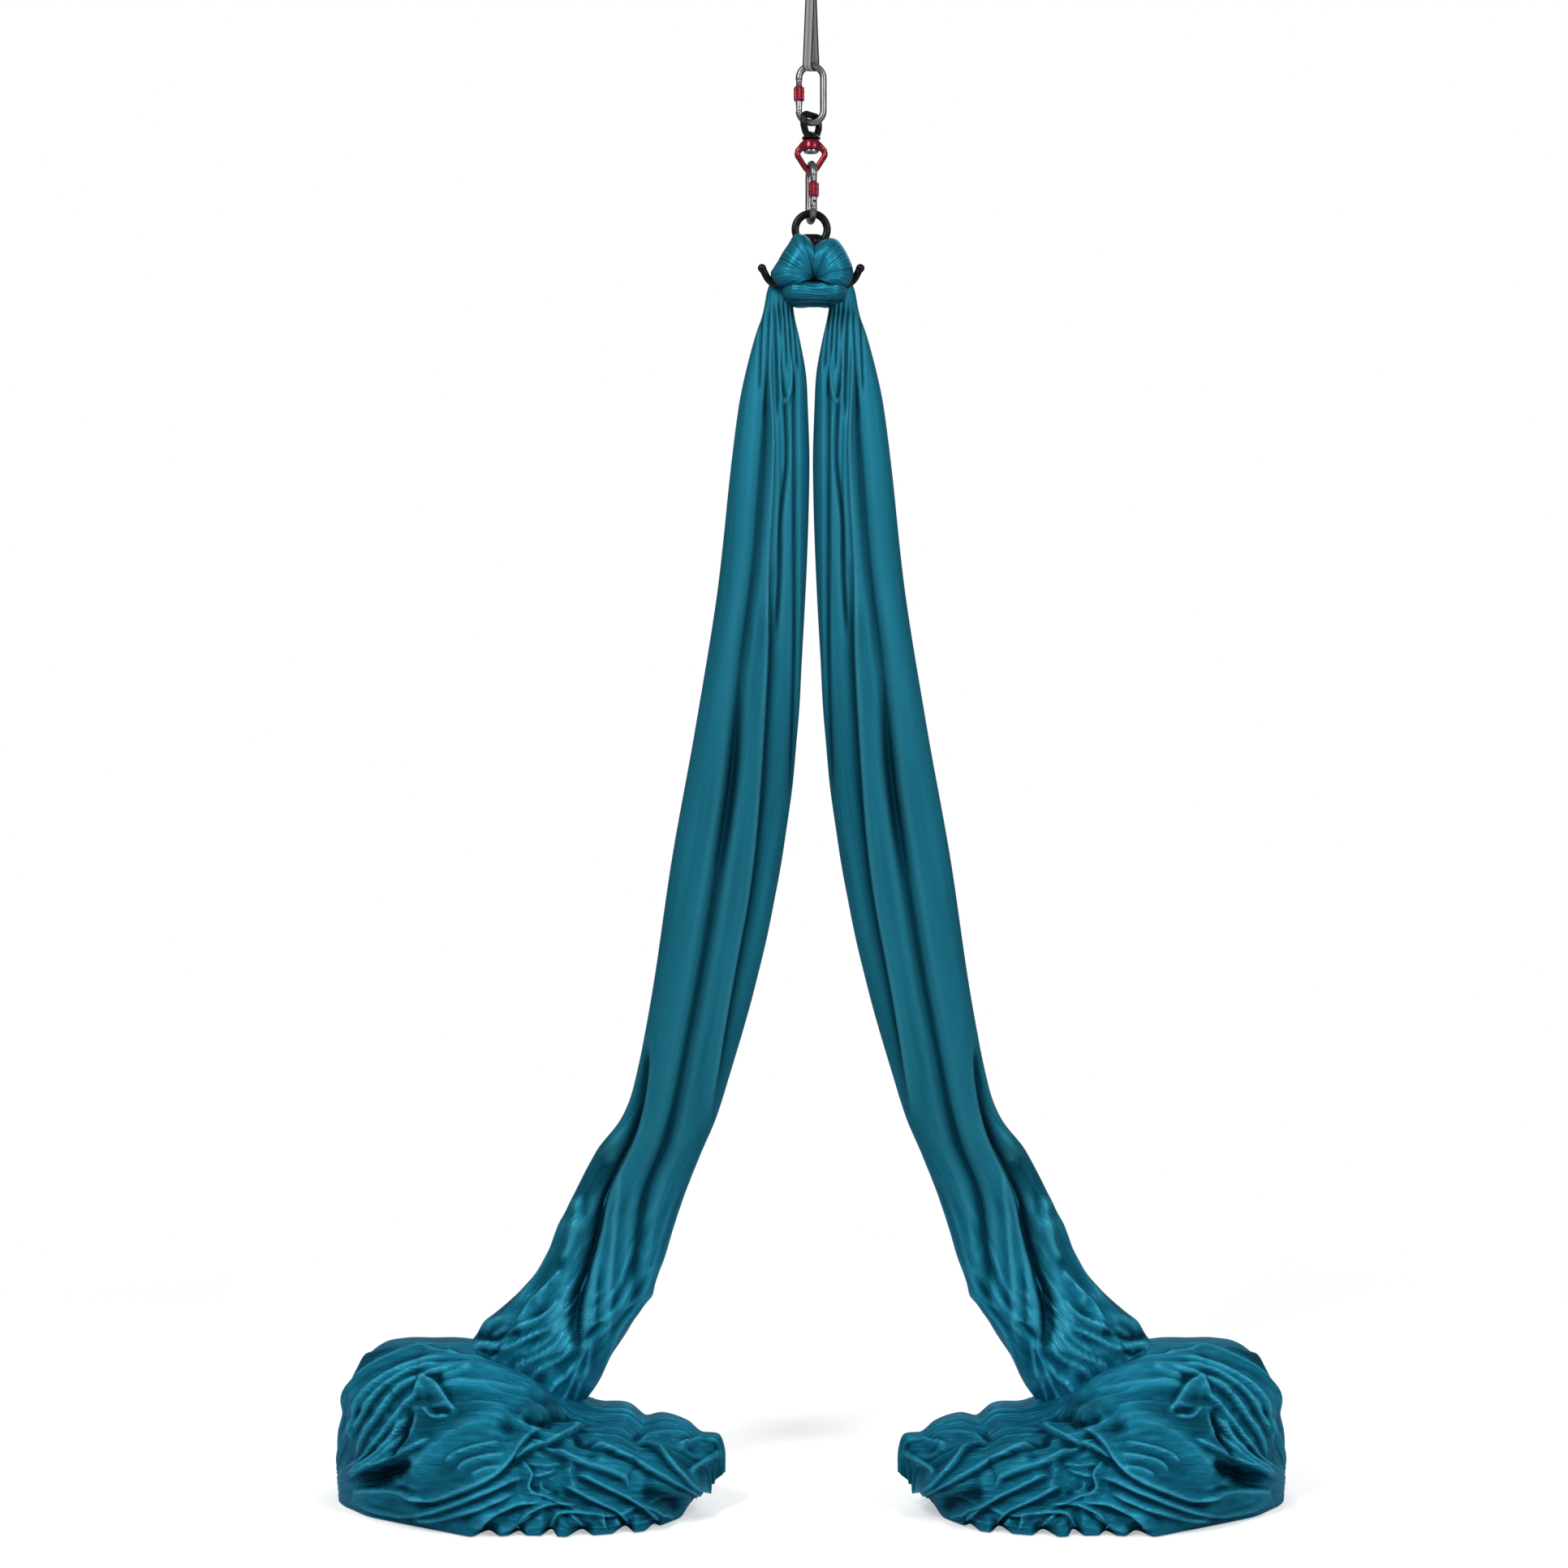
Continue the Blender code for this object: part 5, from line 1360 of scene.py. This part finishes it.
def knot_lobe(table):
    """One lobe of the knot, gathered at the point where its creases meet and closed round the back."""
    share = np.linspace(0, 1, LOBE_ROWS)
    outline = np.array(table, float)
    run = np.linspace(0, len(table) - 1, LOBE_ROWS)
    around = hermite(np.arange(len(table), dtype=float), outline, run)
    angle = np.radians(around[:, :1])
    reach = around[:, 1:]
    share = share[:, None]
    u = np.linspace(0, 2, LOBE_COLUMNS)[None, :]
    half = np.where(u < 1, u, 2 - u)
    out = np.sin(math.pi / 2 * half) ** 0.9
    lift = np.sqrt(np.clip(np.cos(math.pi / 2 * half), 0, 1))
    front = LOBE_MIDDLE + (LOBE_FRONT + LOBE_BULGE * np.sin(math.pi * half**0.8)) * lift
    back = LOBE_MIDDLE - LOBE_BACK * lift
    is_front = eased((1.15 - u) / 0.3)
    edge = eased(share / 0.10) * eased((1 - share) / 0.08)
    depth = np.where(u < 1, front, back) - LOBE_EDGE_SINK * (1 - edge) * is_front * half
    warped = share + 0.006 * np.sin(9 * u + 13 * share)
    pleats = sum(pleated(warped, count, lean) * height for count, lean, height in LOBE_PLEATS)
    pleats = pleats * (0.25 + 0.75 * np.sin(math.pi * half**0.7)) * (0.35 + 0.65 * is_front)
    radius = reach * out + 0.35 * pleats * half
    depth = depth + pleats * np.where(u < 1, 1, -1) * lift
    points = np.stack((
        KNOT_CENTRE[0] + radius * np.cos(angle), -depth, KNOT_CENTRE[1] + radius * np.sin(angle),
    ), axis=-1)
    uv = cloth_map(share * LOBE_SPAN, u * LOBE_DEPTH_SPAN)
    marks = shaded(pleats, np.full(pleats.shape, KNOT_CRUMPLE), *LOBE_SHADING, satin=LOBE_SATIN)
    # Painted shade round the gathered point, along the sunk edges, and down the outer flanks
    gathered = 0.9 * np.exp(-((radius / LOBE_SHADE_RADIUS) ** 2))
    flank_shade = eased((half - 0.60) / 0.40) * np.clip(1.2 * np.abs(np.cos(angle)), 0, 1)
    return points, uv, darker(marks, gathered, 0.5 * (1 - edge) * half + 0.8 * flank_shade)


def knot_roll(depth_centre, side):
    """The band that crosses below the lobes, pinched where the creases meet."""
    share = np.linspace(0, 1, ROLL_ROWS)[:, None]
    angle = np.linspace(0, 2 * math.pi, ROLL_COLUMNS)[None, :]
    x = ROLL_LEFT + (ROLL_RIGHT - ROLL_LEFT) * share
    end = np.abs(2 * share - 1)
    size = np.sqrt(np.clip(1 - end**7, 0.0005, 1))
    near = np.exp(-(((x - KNOT_CENTRE[0]) / ROLL_PINCH_WIDTH) ** 2))
    warped = angle / (2 * math.pi) + 0.010 * np.sin(90 * x)
    ridges = ROLL_RIDGE * pleated(warped, 13.0) * (0.35 + 0.65 * near)
    ridges = ridges + ROLL_FINE_RIDGE * pleated(warped, 37.0)
    size = size * (1 - ROLL_PINCH * near)
    up = ROLL_HALF_HEIGHT * size * np.sin(angle) + ridges * np.sin(angle)
    up = up - ROLL_DIP * near * np.clip(np.sin(angle), 0, 1)
    out = ROLL_HALF_DEPTH * size * np.cos(angle) + ridges * np.cos(angle)
    level = ROLL_HEIGHT - ROLL_SAG * (1 - end**2)
    depth = depth_centre + side * ROLL_END_DEPTH * end**6
    points = np.stack((x + 0 * angle, depth - out, level + up), axis=-1)
    uv = cloth_map(angle * ROLL_MAP_RADIUS, share * ROLL_SPAN)
    marks = shaded(ridges, np.full(ridges.shape, KNOT_CRUMPLE), *ROLL_SHADING, satin=ROLL_SATIN)
    # Painted shade: a dark V at the top middle, and the underside darker
    notch = np.exp(-(((x - KNOT_CENTRE[0]) / ROLL_NOTCH_SHADE_WIDTH) ** 2))
    notch = notch * np.clip(1.3 * np.sin(angle) - 0.2, 0, 1)
    below = np.clip(-1.2 * np.sin(angle) - 0.1, 0, 1)
    return points, uv, darker(marks, 0.9 * notch + 0.7 * below)


def blank_marks(shape, painted_shade=0.0):
    """Fields of a patch without folds, with an even painted shade if one is given."""
    marks = {name: np.zeros(shape) for name in CLOTH_FIELDS}
    marks["painted_shade"] = marks["painted_shade"] + painted_shade
    return marks


def knot_core():
    """Cloth deep in the knot, so nothing shows between lobes and roll; its dark is painted shade."""
    around = np.linspace(0, 2 * math.pi, CORE_COLUMNS)[None, :]
    rise = np.linspace(-math.pi / 2, math.pi / 2, CORE_ROWS)[:, None]
    points = np.stack((
        KNOT_CENTRE[0] + CORE_HALF[0] * np.cos(rise) * np.cos(around),
        CORE_HALF[1] * np.cos(rise) * np.sin(around),
        CORE_HEIGHT + CORE_HALF[2] * np.sin(rise) + 0 * around,
    ), axis=-1)
    uv = cloth_map(around * CORE_MAP_RADII[0], rise * CORE_MAP_RADII[1])
    return points, uv, blank_marks(points.shape[:2], CORE_PAINTED_SHADE)


def tie_knot(look):
    """The core, the two lobes, and the roll at the front and again at the back."""
    patches = [
        knot_core(),
        knot_lobe(LEFT_LOBE), knot_lobe(RIGHT_LOBE),
        knot_roll(ROLL_DEPTH, 1), knot_roll(-ROLL_DEPTH, -1),
    ]
    knot = grid_sheet("silk_knot_wraps", patches, look)
    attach(knot, "rescue_eight")
    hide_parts("silk_knot")


# Sling


def sling_path():
    """The loop's middle line in the plane of its thickness: depth and height, evenly spaced."""
    half = WEBBING_THICKNESS / 2
    top_radius = SLING_TOP_RADIUS + half
    low_radius = SLING_LOW_RADIUS + half
    side_radius = SLING_SIDE_RADIUS + half
    turn = np.linspace(0, math.pi, SLING_BEND_POINTS)
    top = np.stack((top_radius * np.cos(turn), -SLING_TOP_RADIUS + top_radius * np.sin(turn)), axis=1)
    low = np.stack((-side_radius * np.cos(turn), SLING_LOW_CENTRE - low_radius * np.sin(turn)), axis=1)
    line = np.concatenate((top, low, top[:1]))
    knots = travelled(line)
    wanted = np.linspace(0, knots[-1], SLING_ROWS + 1)
    return np.stack([np.interp(wanted, knots, line[:, axis]) for axis in (0, 1)], axis=1), knots[-1]


def flattened(value, power):
    """A sine or cosine pressed toward a rounded rectangle's sides."""
    return np.sign(value) * np.abs(value) ** power


def sew_sling(look):
    """The webbing's section, a rounded rectangle, carried round the loop."""
    path, length = sling_path()
    along = np.gradient(path, axis=0)
    along[0] = along[-1] = path[1] - path[-2]
    along /= np.linalg.norm(along, axis=1, keepdims=True)
    normal = np.stack((along[:, 1], -along[:, 0]), axis=1)
    turn = np.linspace(0, 2 * math.pi, SLING_COLUMNS + 1)
    edge = WEBBING_WIDTH / 2
    across = edge * flattened(np.cos(turn), 0.35)
    out = WEBBING_THICKNESS / 2 * flattened(np.sin(turn), 0.5)
    height = path[:, 1]
    low_share = np.clip((-SLING_TOP_RADIUS - height) / (-SLING_TOP_RADIUS - SLING_LOW_CENTRE), 0, 1)
    lean = np.clip((1 - path[:, 0] / (SLING_SIDE_RADIUS + WEBBING_THICKNESS / 2)) / 2, 0, 1)
    shift = low_share * (FRONT_LEG_OFFSET * lean + BACK_LEG_OFFSET * (1 - lean))
    points = np.stack((
        shift[:, None] + across[None, :],
        path[:, :1] + normal[:, :1] * out[None, :],
        path[:, 1:] + normal[:, 1:] * out[None, :],
    ), axis=-1)
    uv = cloth_map(across[None, :] + edge, np.linspace(0, length, SLING_ROWS + 1)[:, None])
    sling = grid_sheet("sling_band", [(points, uv, blank_marks(points.shape[:2]))], look)
    select_only(sling)
    bpy.ops.object.mode_set(mode="EDIT")
    bpy.ops.mesh.select_all(action="SELECT")
    bpy.ops.mesh.remove_doubles(threshold=0.00002)
    bpy.ops.mesh.normals_make_consistent(inside=False)
    bpy.ops.object.mode_set(mode="OBJECT")
    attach(sling, "sling")
    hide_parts("sling_webbing")


# Hardware


def select_only(piece):
    bpy.ops.object.select_all(action="DESELECT")
    piece.select_set(True)
    bpy.context.view_layer.objects.active = piece


def settled(piece):
    """The piece, with its place, turn and scale put into its mesh."""
    select_only(piece)
    bpy.ops.object.transform_apply(location=True, rotation=True, scale=True)
    return piece


def start_ring(name, place, heading, half_in, half_across, sides):
    """An open ring of edges, square to its heading in the XZ plane and all selected."""
    bpy.ops.object.select_all(action="DESELECT")
    bpy.ops.mesh.primitive_circle_add(
        vertices=sides, radius=1.0, fill_type="NOTHING",
        location=(place[0], 0.0, place[1]), rotation=(0.0, heading, 0.0),
    )
    piece = bpy.context.object
    piece.name = name
    piece.scale = (half_in, half_across, 1.0)
    settled(piece)
    bpy.ops.object.mode_set(mode="EDIT")
    bpy.ops.mesh.select_all(action="SELECT")
    return piece


def push(across, up):
    """Extrude the selected ring by a distance in the XZ plane."""
    bpy.ops.mesh.extrude_region_move(TRANSFORM_OT_translate={"value": (across, 0.0, up)})


def bend(turn, centre, steps):
    """Spin the selected ring round a centre in the XZ plane."""
    bpy.ops.mesh.spin(
        steps=steps, angle=-turn, center=(centre[0], 0.0, centre[1]), axis=(0.0, 1.0, 0.0)
    )


def close_up():
    """Merge the seam, fill the open ends and leave edit mode."""
    bpy.ops.mesh.select_all(action="SELECT")
    bpy.ops.mesh.remove_doubles(threshold=0.00001)
    bpy.ops.mesh.fill_holes(sides=0)
    bpy.ops.mesh.normals_make_consistent(inside=False)
    bpy.ops.object.mode_set(mode="OBJECT")


def bent_rod(name, line, corners, half_in, half_across):
    """A rod pushed along straight runs in the XZ plane and spun round each corner."""
    line = [Vector(point) for point in line]
    first = line[1] - line[0]
    heading = math.atan2(first.x, first.y)
    rod = start_ring(name, line[0], heading, half_in, half_across, ROD_SIDES)
    here = line[0]
    for before, corner, after, radius in zip(line, line[1:], line[2:], corners):
        ahead = (corner - before).normalized()
        onward = (after - corner).normalized()
        turn = math.atan2(onward.x, onward.y) - math.atan2(ahead.x, ahead.y)
        turn = (turn + math.pi) % (2 * math.pi) - math.pi
        setback = radius * math.tan(abs(turn) / 2)
        start = corner - ahead * setback
        side = math.copysign(1.0, turn)
        centre = start + Vector((ahead.y, -ahead.x)) * side * radius
        if (start - here).length > SHORTEST_RUN:
            push(start.x - here.x, start.y - here.y)
        bend(turn, centre, max(2, round(abs(turn) / BEND_STEP)))
        here = corner + onward * setback
    push(line[-1].x - here.x, line[-1].y - here.y)
    close_up()
    return rod


def turned_piece(name, profile, sides=TURNED_SIDES):
    """A turned piece from radii and heights, by pushing a ring up and scaling it."""
    radius, height = profile[0]
    piece = start_ring(name, (0.0, height), 0.0, radius, radius, sides)
    for next_radius, next_height in profile[1:]:
        push(0.0, next_height - height)
        share = next_radius / radius
        bpy.ops.transform.resize(value=(share, share, 1.0), center_override=(0.0, 0.0, next_height))
        radius, height = next_radius, next_height
    close_up()
    return piece


def block(low, high):
    """A box between two corners."""
    bpy.ops.object.select_all(action="DESELECT")
    middle = [(a + b) / 2 for a, b in zip(low, high)]
    bpy.ops.mesh.primitive_cube_add(size=1.0, location=middle)
    piece = bpy.context.object
    piece.scale = [b - a for a, b in zip(low, high)]
    return settled(piece)


def straight_rod(radius, length, middle, lean, sides):
    """A cylinder round its middle, leaning from Z toward Y."""
    bpy.ops.object.select_all(action="DESELECT")
    bpy.ops.mesh.primitive_cylinder_add(
        vertices=sides, radius=radius, depth=length, location=middle, rotation=(lean, 0.0, 0.0)
    )
    return settled(bpy.context.object)


def cross_rod(radius, length, place, sides=24):
    """A cylinder along Y through a place in the XZ plane."""
    return straight_rod(radius, length, (place[0], 0.0, place[1]), math.radians(90), sides)


def upright_rod(radius, low, high, sides=32):
    """A cylinder along Z between two heights."""
    return straight_rod(radius, high - low, (0.0, 0.0, (low + high) / 2), 0.0, sides)


def shape_with(piece, kind, **settings):
    """Give a piece a modifier with its settings, and apply it."""
    select_only(piece)
    modifier = piece.modifiers.new("shape", kind)
    for name, value in settings.items():
        setattr(modifier, name, value)
    bpy.ops.object.modifier_apply(modifier=modifier.name)


def combine(piece, other, operation):
    """Join, cut or trim a piece with another by a Boolean, and drop the other."""
    shape_with(piece, "BOOLEAN", operation=operation, object=other)
    bpy.data.objects.remove(other)


def smooth_under(piece, degrees):
    """Shade smooth wherever two faces meet at less than an angle."""
    select_only(piece)
    bpy.ops.object.shade_smooth_by_angle(angle=math.radians(degrees))


def soften(piece, width, degrees=40.0):
    """Break the sharp edges and shade the rest smooth."""
    shape_with(
        piece, "BEVEL", width=width, segments=2, limit_method="ANGLE",
        angle_limit=math.radians(degrees), use_clamp_overlap=True,
    )
    smooth_under(piece, degrees)


def forge(name, parts, voxel, rounds):
    """Blend overlapping parts into one forging with soft fillets where they meet."""
    bpy.ops.object.select_all(action="DESELECT")
    for part in parts:
        part.select_set(True)
    bpy.context.view_layer.objects.active = parts[0]
    bpy.ops.object.join()
    piece = bpy.context.object
    piece.name = name
    shape_with(piece, "REMESH", mode="VOXEL", voxel_size=voxel)
    shape_with(piece, "SMOOTH", factor=0.5, iterations=rounds)
    bpy.ops.object.shade_smooth()
    return piece


def seat(piece, place, yaw, body, node):
    """Put a finished piece in its place in the object, on its body and with its finish."""
    piece.location = place
    piece.rotation_euler = (0.0, 0.0, yaw)
    settled(piece)
    piece.data.materials.clear()
    piece.data.materials.append(LOOKS[SLOTS[node]])
    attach(piece, body)
    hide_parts(node)


def own_copy(piece, name):
    """A copy with a mesh of its own."""
    copy = piece.copy()
    copy.data = piece.data.copy()
    copy.name = name
    bpy.context.scene.collection.objects.link(copy)
    return copy


def carabiner_body():
    """The bent bar, with its hinge tongue at one end and its latch at the nose."""
    gate_axis = -CORNER_RADIUS
    hinge = (gate_axis, HINGE_HEIGHT)
    bar_end = HINGE_HEIGHT - BAR_RADIUS - HINGE_GAP
    end_turn = math.asin((bar_end - LOW_CORNER) / gate_axis)
    steps = round(math.pi / BEND_STEP)
    body = start_ring("bar", (gate_axis, NOSE_HEIGHT), 0.0, BAR_RADIUS, BAR_RADIUS, ROD_SIDES)
    push(0.0, TOP_CORNER - NOSE_HEIGHT)
    bend(math.pi, (0.0, TOP_CORNER), steps)
    push(0.0, LOW_CORNER - TOP_CORNER)
    bend(math.pi - end_turn, (0.0, LOW_CORNER), steps)
    close_up()
    soften(body, BAR_EDGE)
    tongue = block(
        (gate_axis - TONGUE_REACH, -TONGUE_HALF, bar_end - OVERLAP),
        (gate_axis + TONGUE_REACH, TONGUE_HALF, HINGE_HEIGHT),
    )
    combine(body, tongue, "UNION")
    combine(body, cross_rod(TONGUE_REACH, 2 * TONGUE_HALF, hinge), "UNION")
    combine(body, cross_rod(PIN_HOLE_RADIUS, 4 * BAR_RADIUS, hinge), "DIFFERENCE")
    latch = block(
        (gate_axis - LATCH_BACK, -TONGUE_HALF, NOSE_HEIGHT - LATCH_DEPTH),
        (gate_axis + LATCH_FRONT, TONGUE_HALF, NOSE_HEIGHT + OVERLAP),
    )
    combine(body, latch, "UNION")
    latch_pin = NOSE_HEIGHT - LATCH_PIN_DEPTH
    notch = block(
        (gate_axis - PIN_HOLE_RADIUS, -2 * BAR_RADIUS, latch_pin - PIN_HOLE_RADIUS),
        (gate_axis + LATCH_FRONT + OVERLAP, 2 * BAR_RADIUS, latch_pin + PIN_HOLE_RADIUS),
    )
    combine(body, notch, "DIFFERENCE")
    smooth_under(body, BAR_SMOOTH)
    return body


def gate_tube():
    """The gate: a tube with its screw thread, forked at both ends, drawn from the hinge pin up."""
    profile = [(BAR_RADIUS - GATE_EDGE, -BAR_RADIUS), (BAR_RADIUS, -BAR_RADIUS + GATE_EDGE)]
    for turn in range(THREAD_COUNT):
        low = THREAD_START + turn * THREAD_PITCH
        profile.append((BAR_RADIUS, low))
        for share in THREAD_FLOOR:
            profile.append((BAR_RADIUS - THREAD_DEPTH, low + share * THREAD_PITCH))
    profile.append((BAR_RADIUS, THREAD_START + THREAD_COUNT * THREAD_PITCH))
    profile += [(BAR_RADIUS, GATE_TOP - GATE_EDGE), (BAR_RADIUS - GATE_EDGE, GATE_TOP)]
    gate = turned_piece("gate", profile, GATE_SIDES)
    rounding = cross_rod(BAR_RADIUS, 4 * BAR_RADIUS, (0.0, 0.0), GATE_SIDES)
    reach = 2 * BAR_RADIUS
    combine(rounding, block((-reach, -reach, 0.0), (reach, reach, 2 * GATE_TOP)), "UNION")
    combine(gate, rounding, "INTERSECT")
    low_slot = block((-reach, -FORK_HALF, -reach), (reach, FORK_HALF, FORK_FLOOR))
    combine(gate, low_slot, "DIFFERENCE")
    high_slot = block((-reach, -FORK_HALF, LATCH_FLOOR), (reach, FORK_HALF, 2 * GATE_TOP))
    combine(gate, high_slot, "DIFFERENCE")
    bore = upright_rod(GATE_BORE_RADIUS, FORK_FLOOR - OVERLAP, GATE_BORE_TOP)
    combine(gate, bore, "DIFFERENCE")
    latch_pin = NOSE_HEIGHT - LATCH_PIN_DEPTH - HINGE_HEIGHT
    for height in (0.0, latch_pin):
        combine(gate, cross_rod(PIN_HOLE_RADIUS, 4 * BAR_RADIUS, (0.0, height)), "DIFFERENCE")
    smooth_under(gate, GATE_SMOOTH)
    return gate


def lock_sleeve():
    """The screw sleeve with its chamfers and its band of raised knurling."""
    low = SLEEVE_LOW + SLEEVE_CHAMFER + KNURL_MARGIN
    high = SLEEVE_HIGH - SLEEVE_CHAMFER - KNURL_MARGIN
    profile = [
        (SLEEVE_BORE, SLEEVE_LOW), (SLEEVE_RADIUS - SLEEVE_CHAMFER, SLEEVE_LOW),
        (SLEEVE_RADIUS + SLEEVE_LIP, SLEEVE_LOW + SLEEVE_CHAMFER), (SLEEVE_RADIUS, low),
    ]
    for row in range(1, KNURL_ROWS + 1):
        profile.append((SLEEVE_RADIUS, low + (high - low) * row / KNURL_ROWS))
    profile += [
        (SLEEVE_RADIUS + SLEEVE_LIP, SLEEVE_HIGH - SLEEVE_CHAMFER),
        (SLEEVE_RADIUS - SLEEVE_CHAMFER, SLEEVE_HIGH), (SLEEVE_BORE, SLEEVE_HIGH),
        (SLEEVE_BORE, SLEEVE_LOW),
    ]
    sleeve = turned_piece("sleeve", profile, KNURL_COLUMNS)
    for face in sleeve.data.polygons:
        outside = math.hypot(face.center.x, face.center.y) > 0.98 * SLEEVE_RADIUS
        face.select = outside and low < face.center.z < high
    for edge in sleeve.data.edges:
        edge.select = False
    for vertex in sleeve.data.vertices:
        vertex.select = False
    select_only(sleeve)
    bpy.ops.object.mode_set(mode="EDIT")
    bpy.ops.mesh.select_mode(type="FACE")
    bpy.ops.mesh.poke(offset=KNURL_HEIGHT)
    bpy.ops.mesh.select_all(action="SELECT")
    bpy.ops.mesh.normals_make_consistent(inside=False)
    bpy.ops.mesh.select_mode(type="VERT")
    bpy.ops.object.mode_set(mode="OBJECT")
    smooth_under(sleeve, KNURL_SMOOTH)
    return sleeve


def hang_carabiners():
    """Both carabiners from one set of patterns."""
    body = carabiner_body()
    gate = gate_tube()
    sleeve = lock_sleeve()
    for prefix, yaw in CARABINERS:
        top = JOINT_PLACE[f"{prefix}_carabiner"]
        hinge = JOINT_PLACE[f"{prefix}_gate"]
        bar = own_copy(body, f"{prefix}_bar")
        seat(bar, top, yaw, f"{prefix}_carabiner", f"{prefix}_carabiner_body")
        tube = own_copy(gate, f"{prefix}_gate_tube")
        seat(tube, hinge, yaw, f"{prefix}_gate", f"{prefix}_gate")
        screw = own_copy(sleeve, f"{prefix}_screw_sleeve")
        seat(screw, hinge, yaw, f"{prefix}_sleeve", f"{prefix}_lock_sleeve")
    for pattern in (body, gate, sleeve):
        bpy.data.objects.remove(pattern)


def shoulder(line):
    """The web from the swivel's head out to its frame, as deep as the head at first."""
    start, end = (Vector(point) for point in line)
    run = end - start
    heading = math.atan2(run.x, run.y)
    web = start_ring("shoulder", start, heading, SHOULDER_HALF, SHOULDER_ROOT_HALF, ROD_SIDES)
    step = run / (len(SHOULDER_SPREAD) - 1)
    for before, after in zip(SHOULDER_SPREAD, SHOULDER_SPREAD[1:]):
        push(step.x, step.y)
        bpy.ops.transform.resize(value=(1.0, after / before, 1.0), center_override=(0.0, 0.0, 0.0))
    close_up()
    return web


def build_swivel():
    """The eye with its stem, the head with its frame and bore, and the nut under the head."""
    place = JOINT_PLACE["swivel_eye"]
    loop = bent_rod("eye_loop", EYE_OUTLINE, EYE_CORNERS, EYE_HALF_IN, EYE_HALF_ACROSS)
    stem = turned_piece("eye_stem", EYE_STEM)
    eye = forge("eye_shackle", [loop, stem], SMALL_FORGING_VOXEL, EYE_ROUNDS)
    seat(eye, place, EYE_YAW, "swivel_eye", "swivel_eye")
    parts = [turned_piece("head", HEAD_PROFILE)]
    parts.append(bent_rod("frame", FRAME_LINE, FRAME_CORNERS, FRAME_HALF_IN, FRAME_HALF_ACROSS))
    for side in (-1, 1):
        parts.append(shoulder([(side * x, z) for x, z in SHOULDER]))
    body = forge("swivel_forging", parts, SMALL_FORGING_VOXEL, SWIVEL_ROUNDS)
    bore = upright_rod(HEAD_BORE_RADIUS, HEAD_BORE_LOW, HEAD_BORE_TOP, TURNED_SIDES)
    combine(body, bore, "DIFFERENCE")
    combine(body, upright_rod(HEAD_NECK_RADIUS, HEAD_BORE_LOW, HEAD_NECK_TOP), "DIFFERENCE")
    smooth_under(body, SWIVEL_SMOOTH)
    seat(body, place, 0.0, "swivel_body", "swivel_body")
    nut = turned_piece("flange_nut", NUT_PROFILE)
    soften(nut, NUT_EDGE)
    seat(nut, place, 0.0, "swivel_eye", "swivel_nut")


def ring_round(centre, radius):
    """A ring of oval bar standing in the XZ plane."""
    bpy.ops.object.select_all(action="DESELECT")
    bpy.ops.mesh.primitive_torus_add(
        major_radius=radius, minor_radius=RING_HALF_IN, major_segments=72, minor_segments=24,
        location=(0.0, 0.0, centre), rotation=(math.radians(90), 0.0, 0.0),
    )
    ring = bpy.context.object
    ring.scale = (1.0, 1.0, RING_HALF_ACROSS / RING_HALF_IN)
    return settled(ring)


def ball(radius, place):
    """A ball at a place in the XZ plane."""
    bpy.ops.object.select_all(action="DESELECT")
    bpy.ops.mesh.primitive_uv_sphere_add(
        segments=32, ring_count=20, radius=radius, location=(place[0], 0.0, place[1])
    )
    return settled(bpy.context.object)


def forge_eight():
    """Two rings, the neck between them with its arch, and the ears with their round ends."""
    parts = [ring_round(*SMALL_RING), ring_round(*BIG_RING)]
    parts.append(
        bent_rod("arch", NECK_ARCH, NECK_ARCH_CORNERS, NECK_ARCH_HALF, RING_HALF_ACROSS)
    )
    parts.append(bent_rod("neck", NECK_LINE, (), NECK_HALF_WIDTH, NECK_HALF_ACROSS))
    for side in (-1, 1):
        line = [(side * x, z) for x, z in EAR_LINE]
        parts.append(bent_rod("ear", line, (EAR_CORNER,), EAR_RADIUS, EAR_RADIUS))
        x, z = line[-1]
        parts.append(ball(EAR_TIP_RADIUS, (x, z - EAR_TIP_DROP)))
    eight = forge("eight_forging", parts, FORGING_VOXEL, EIGHT_ROUNDS)
    seat(eight, (0.0, 0.0, 0.0), 0.0, "rescue_eight", "rescue_eight")


# Making it all

stand_camera()
light_world()
for name, values in LAMPS.items():
    hang_lamp(name, *values)
lay_floor()

bpy.context.scene.view_settings.view_transform = "Standard"

LOOKS = {"silk": silk_look(), "webbing": webbing_look()}
finish = metal_finish()
for name, values in METALS.items():
    LOOKS[name] = metal_look(name, finish, *values)
for node, thing in frame["nodes"].items():
    thing.data.materials.clear()
    thing.data.materials.append(LOOKS[SLOTS[node]])

hang_carabiners()
build_swivel()
forge_eight()
hang_silk(LOOKS["silk"])
tie_knot(LOOKS["silk"])
sew_sling(LOOKS["webbing"])
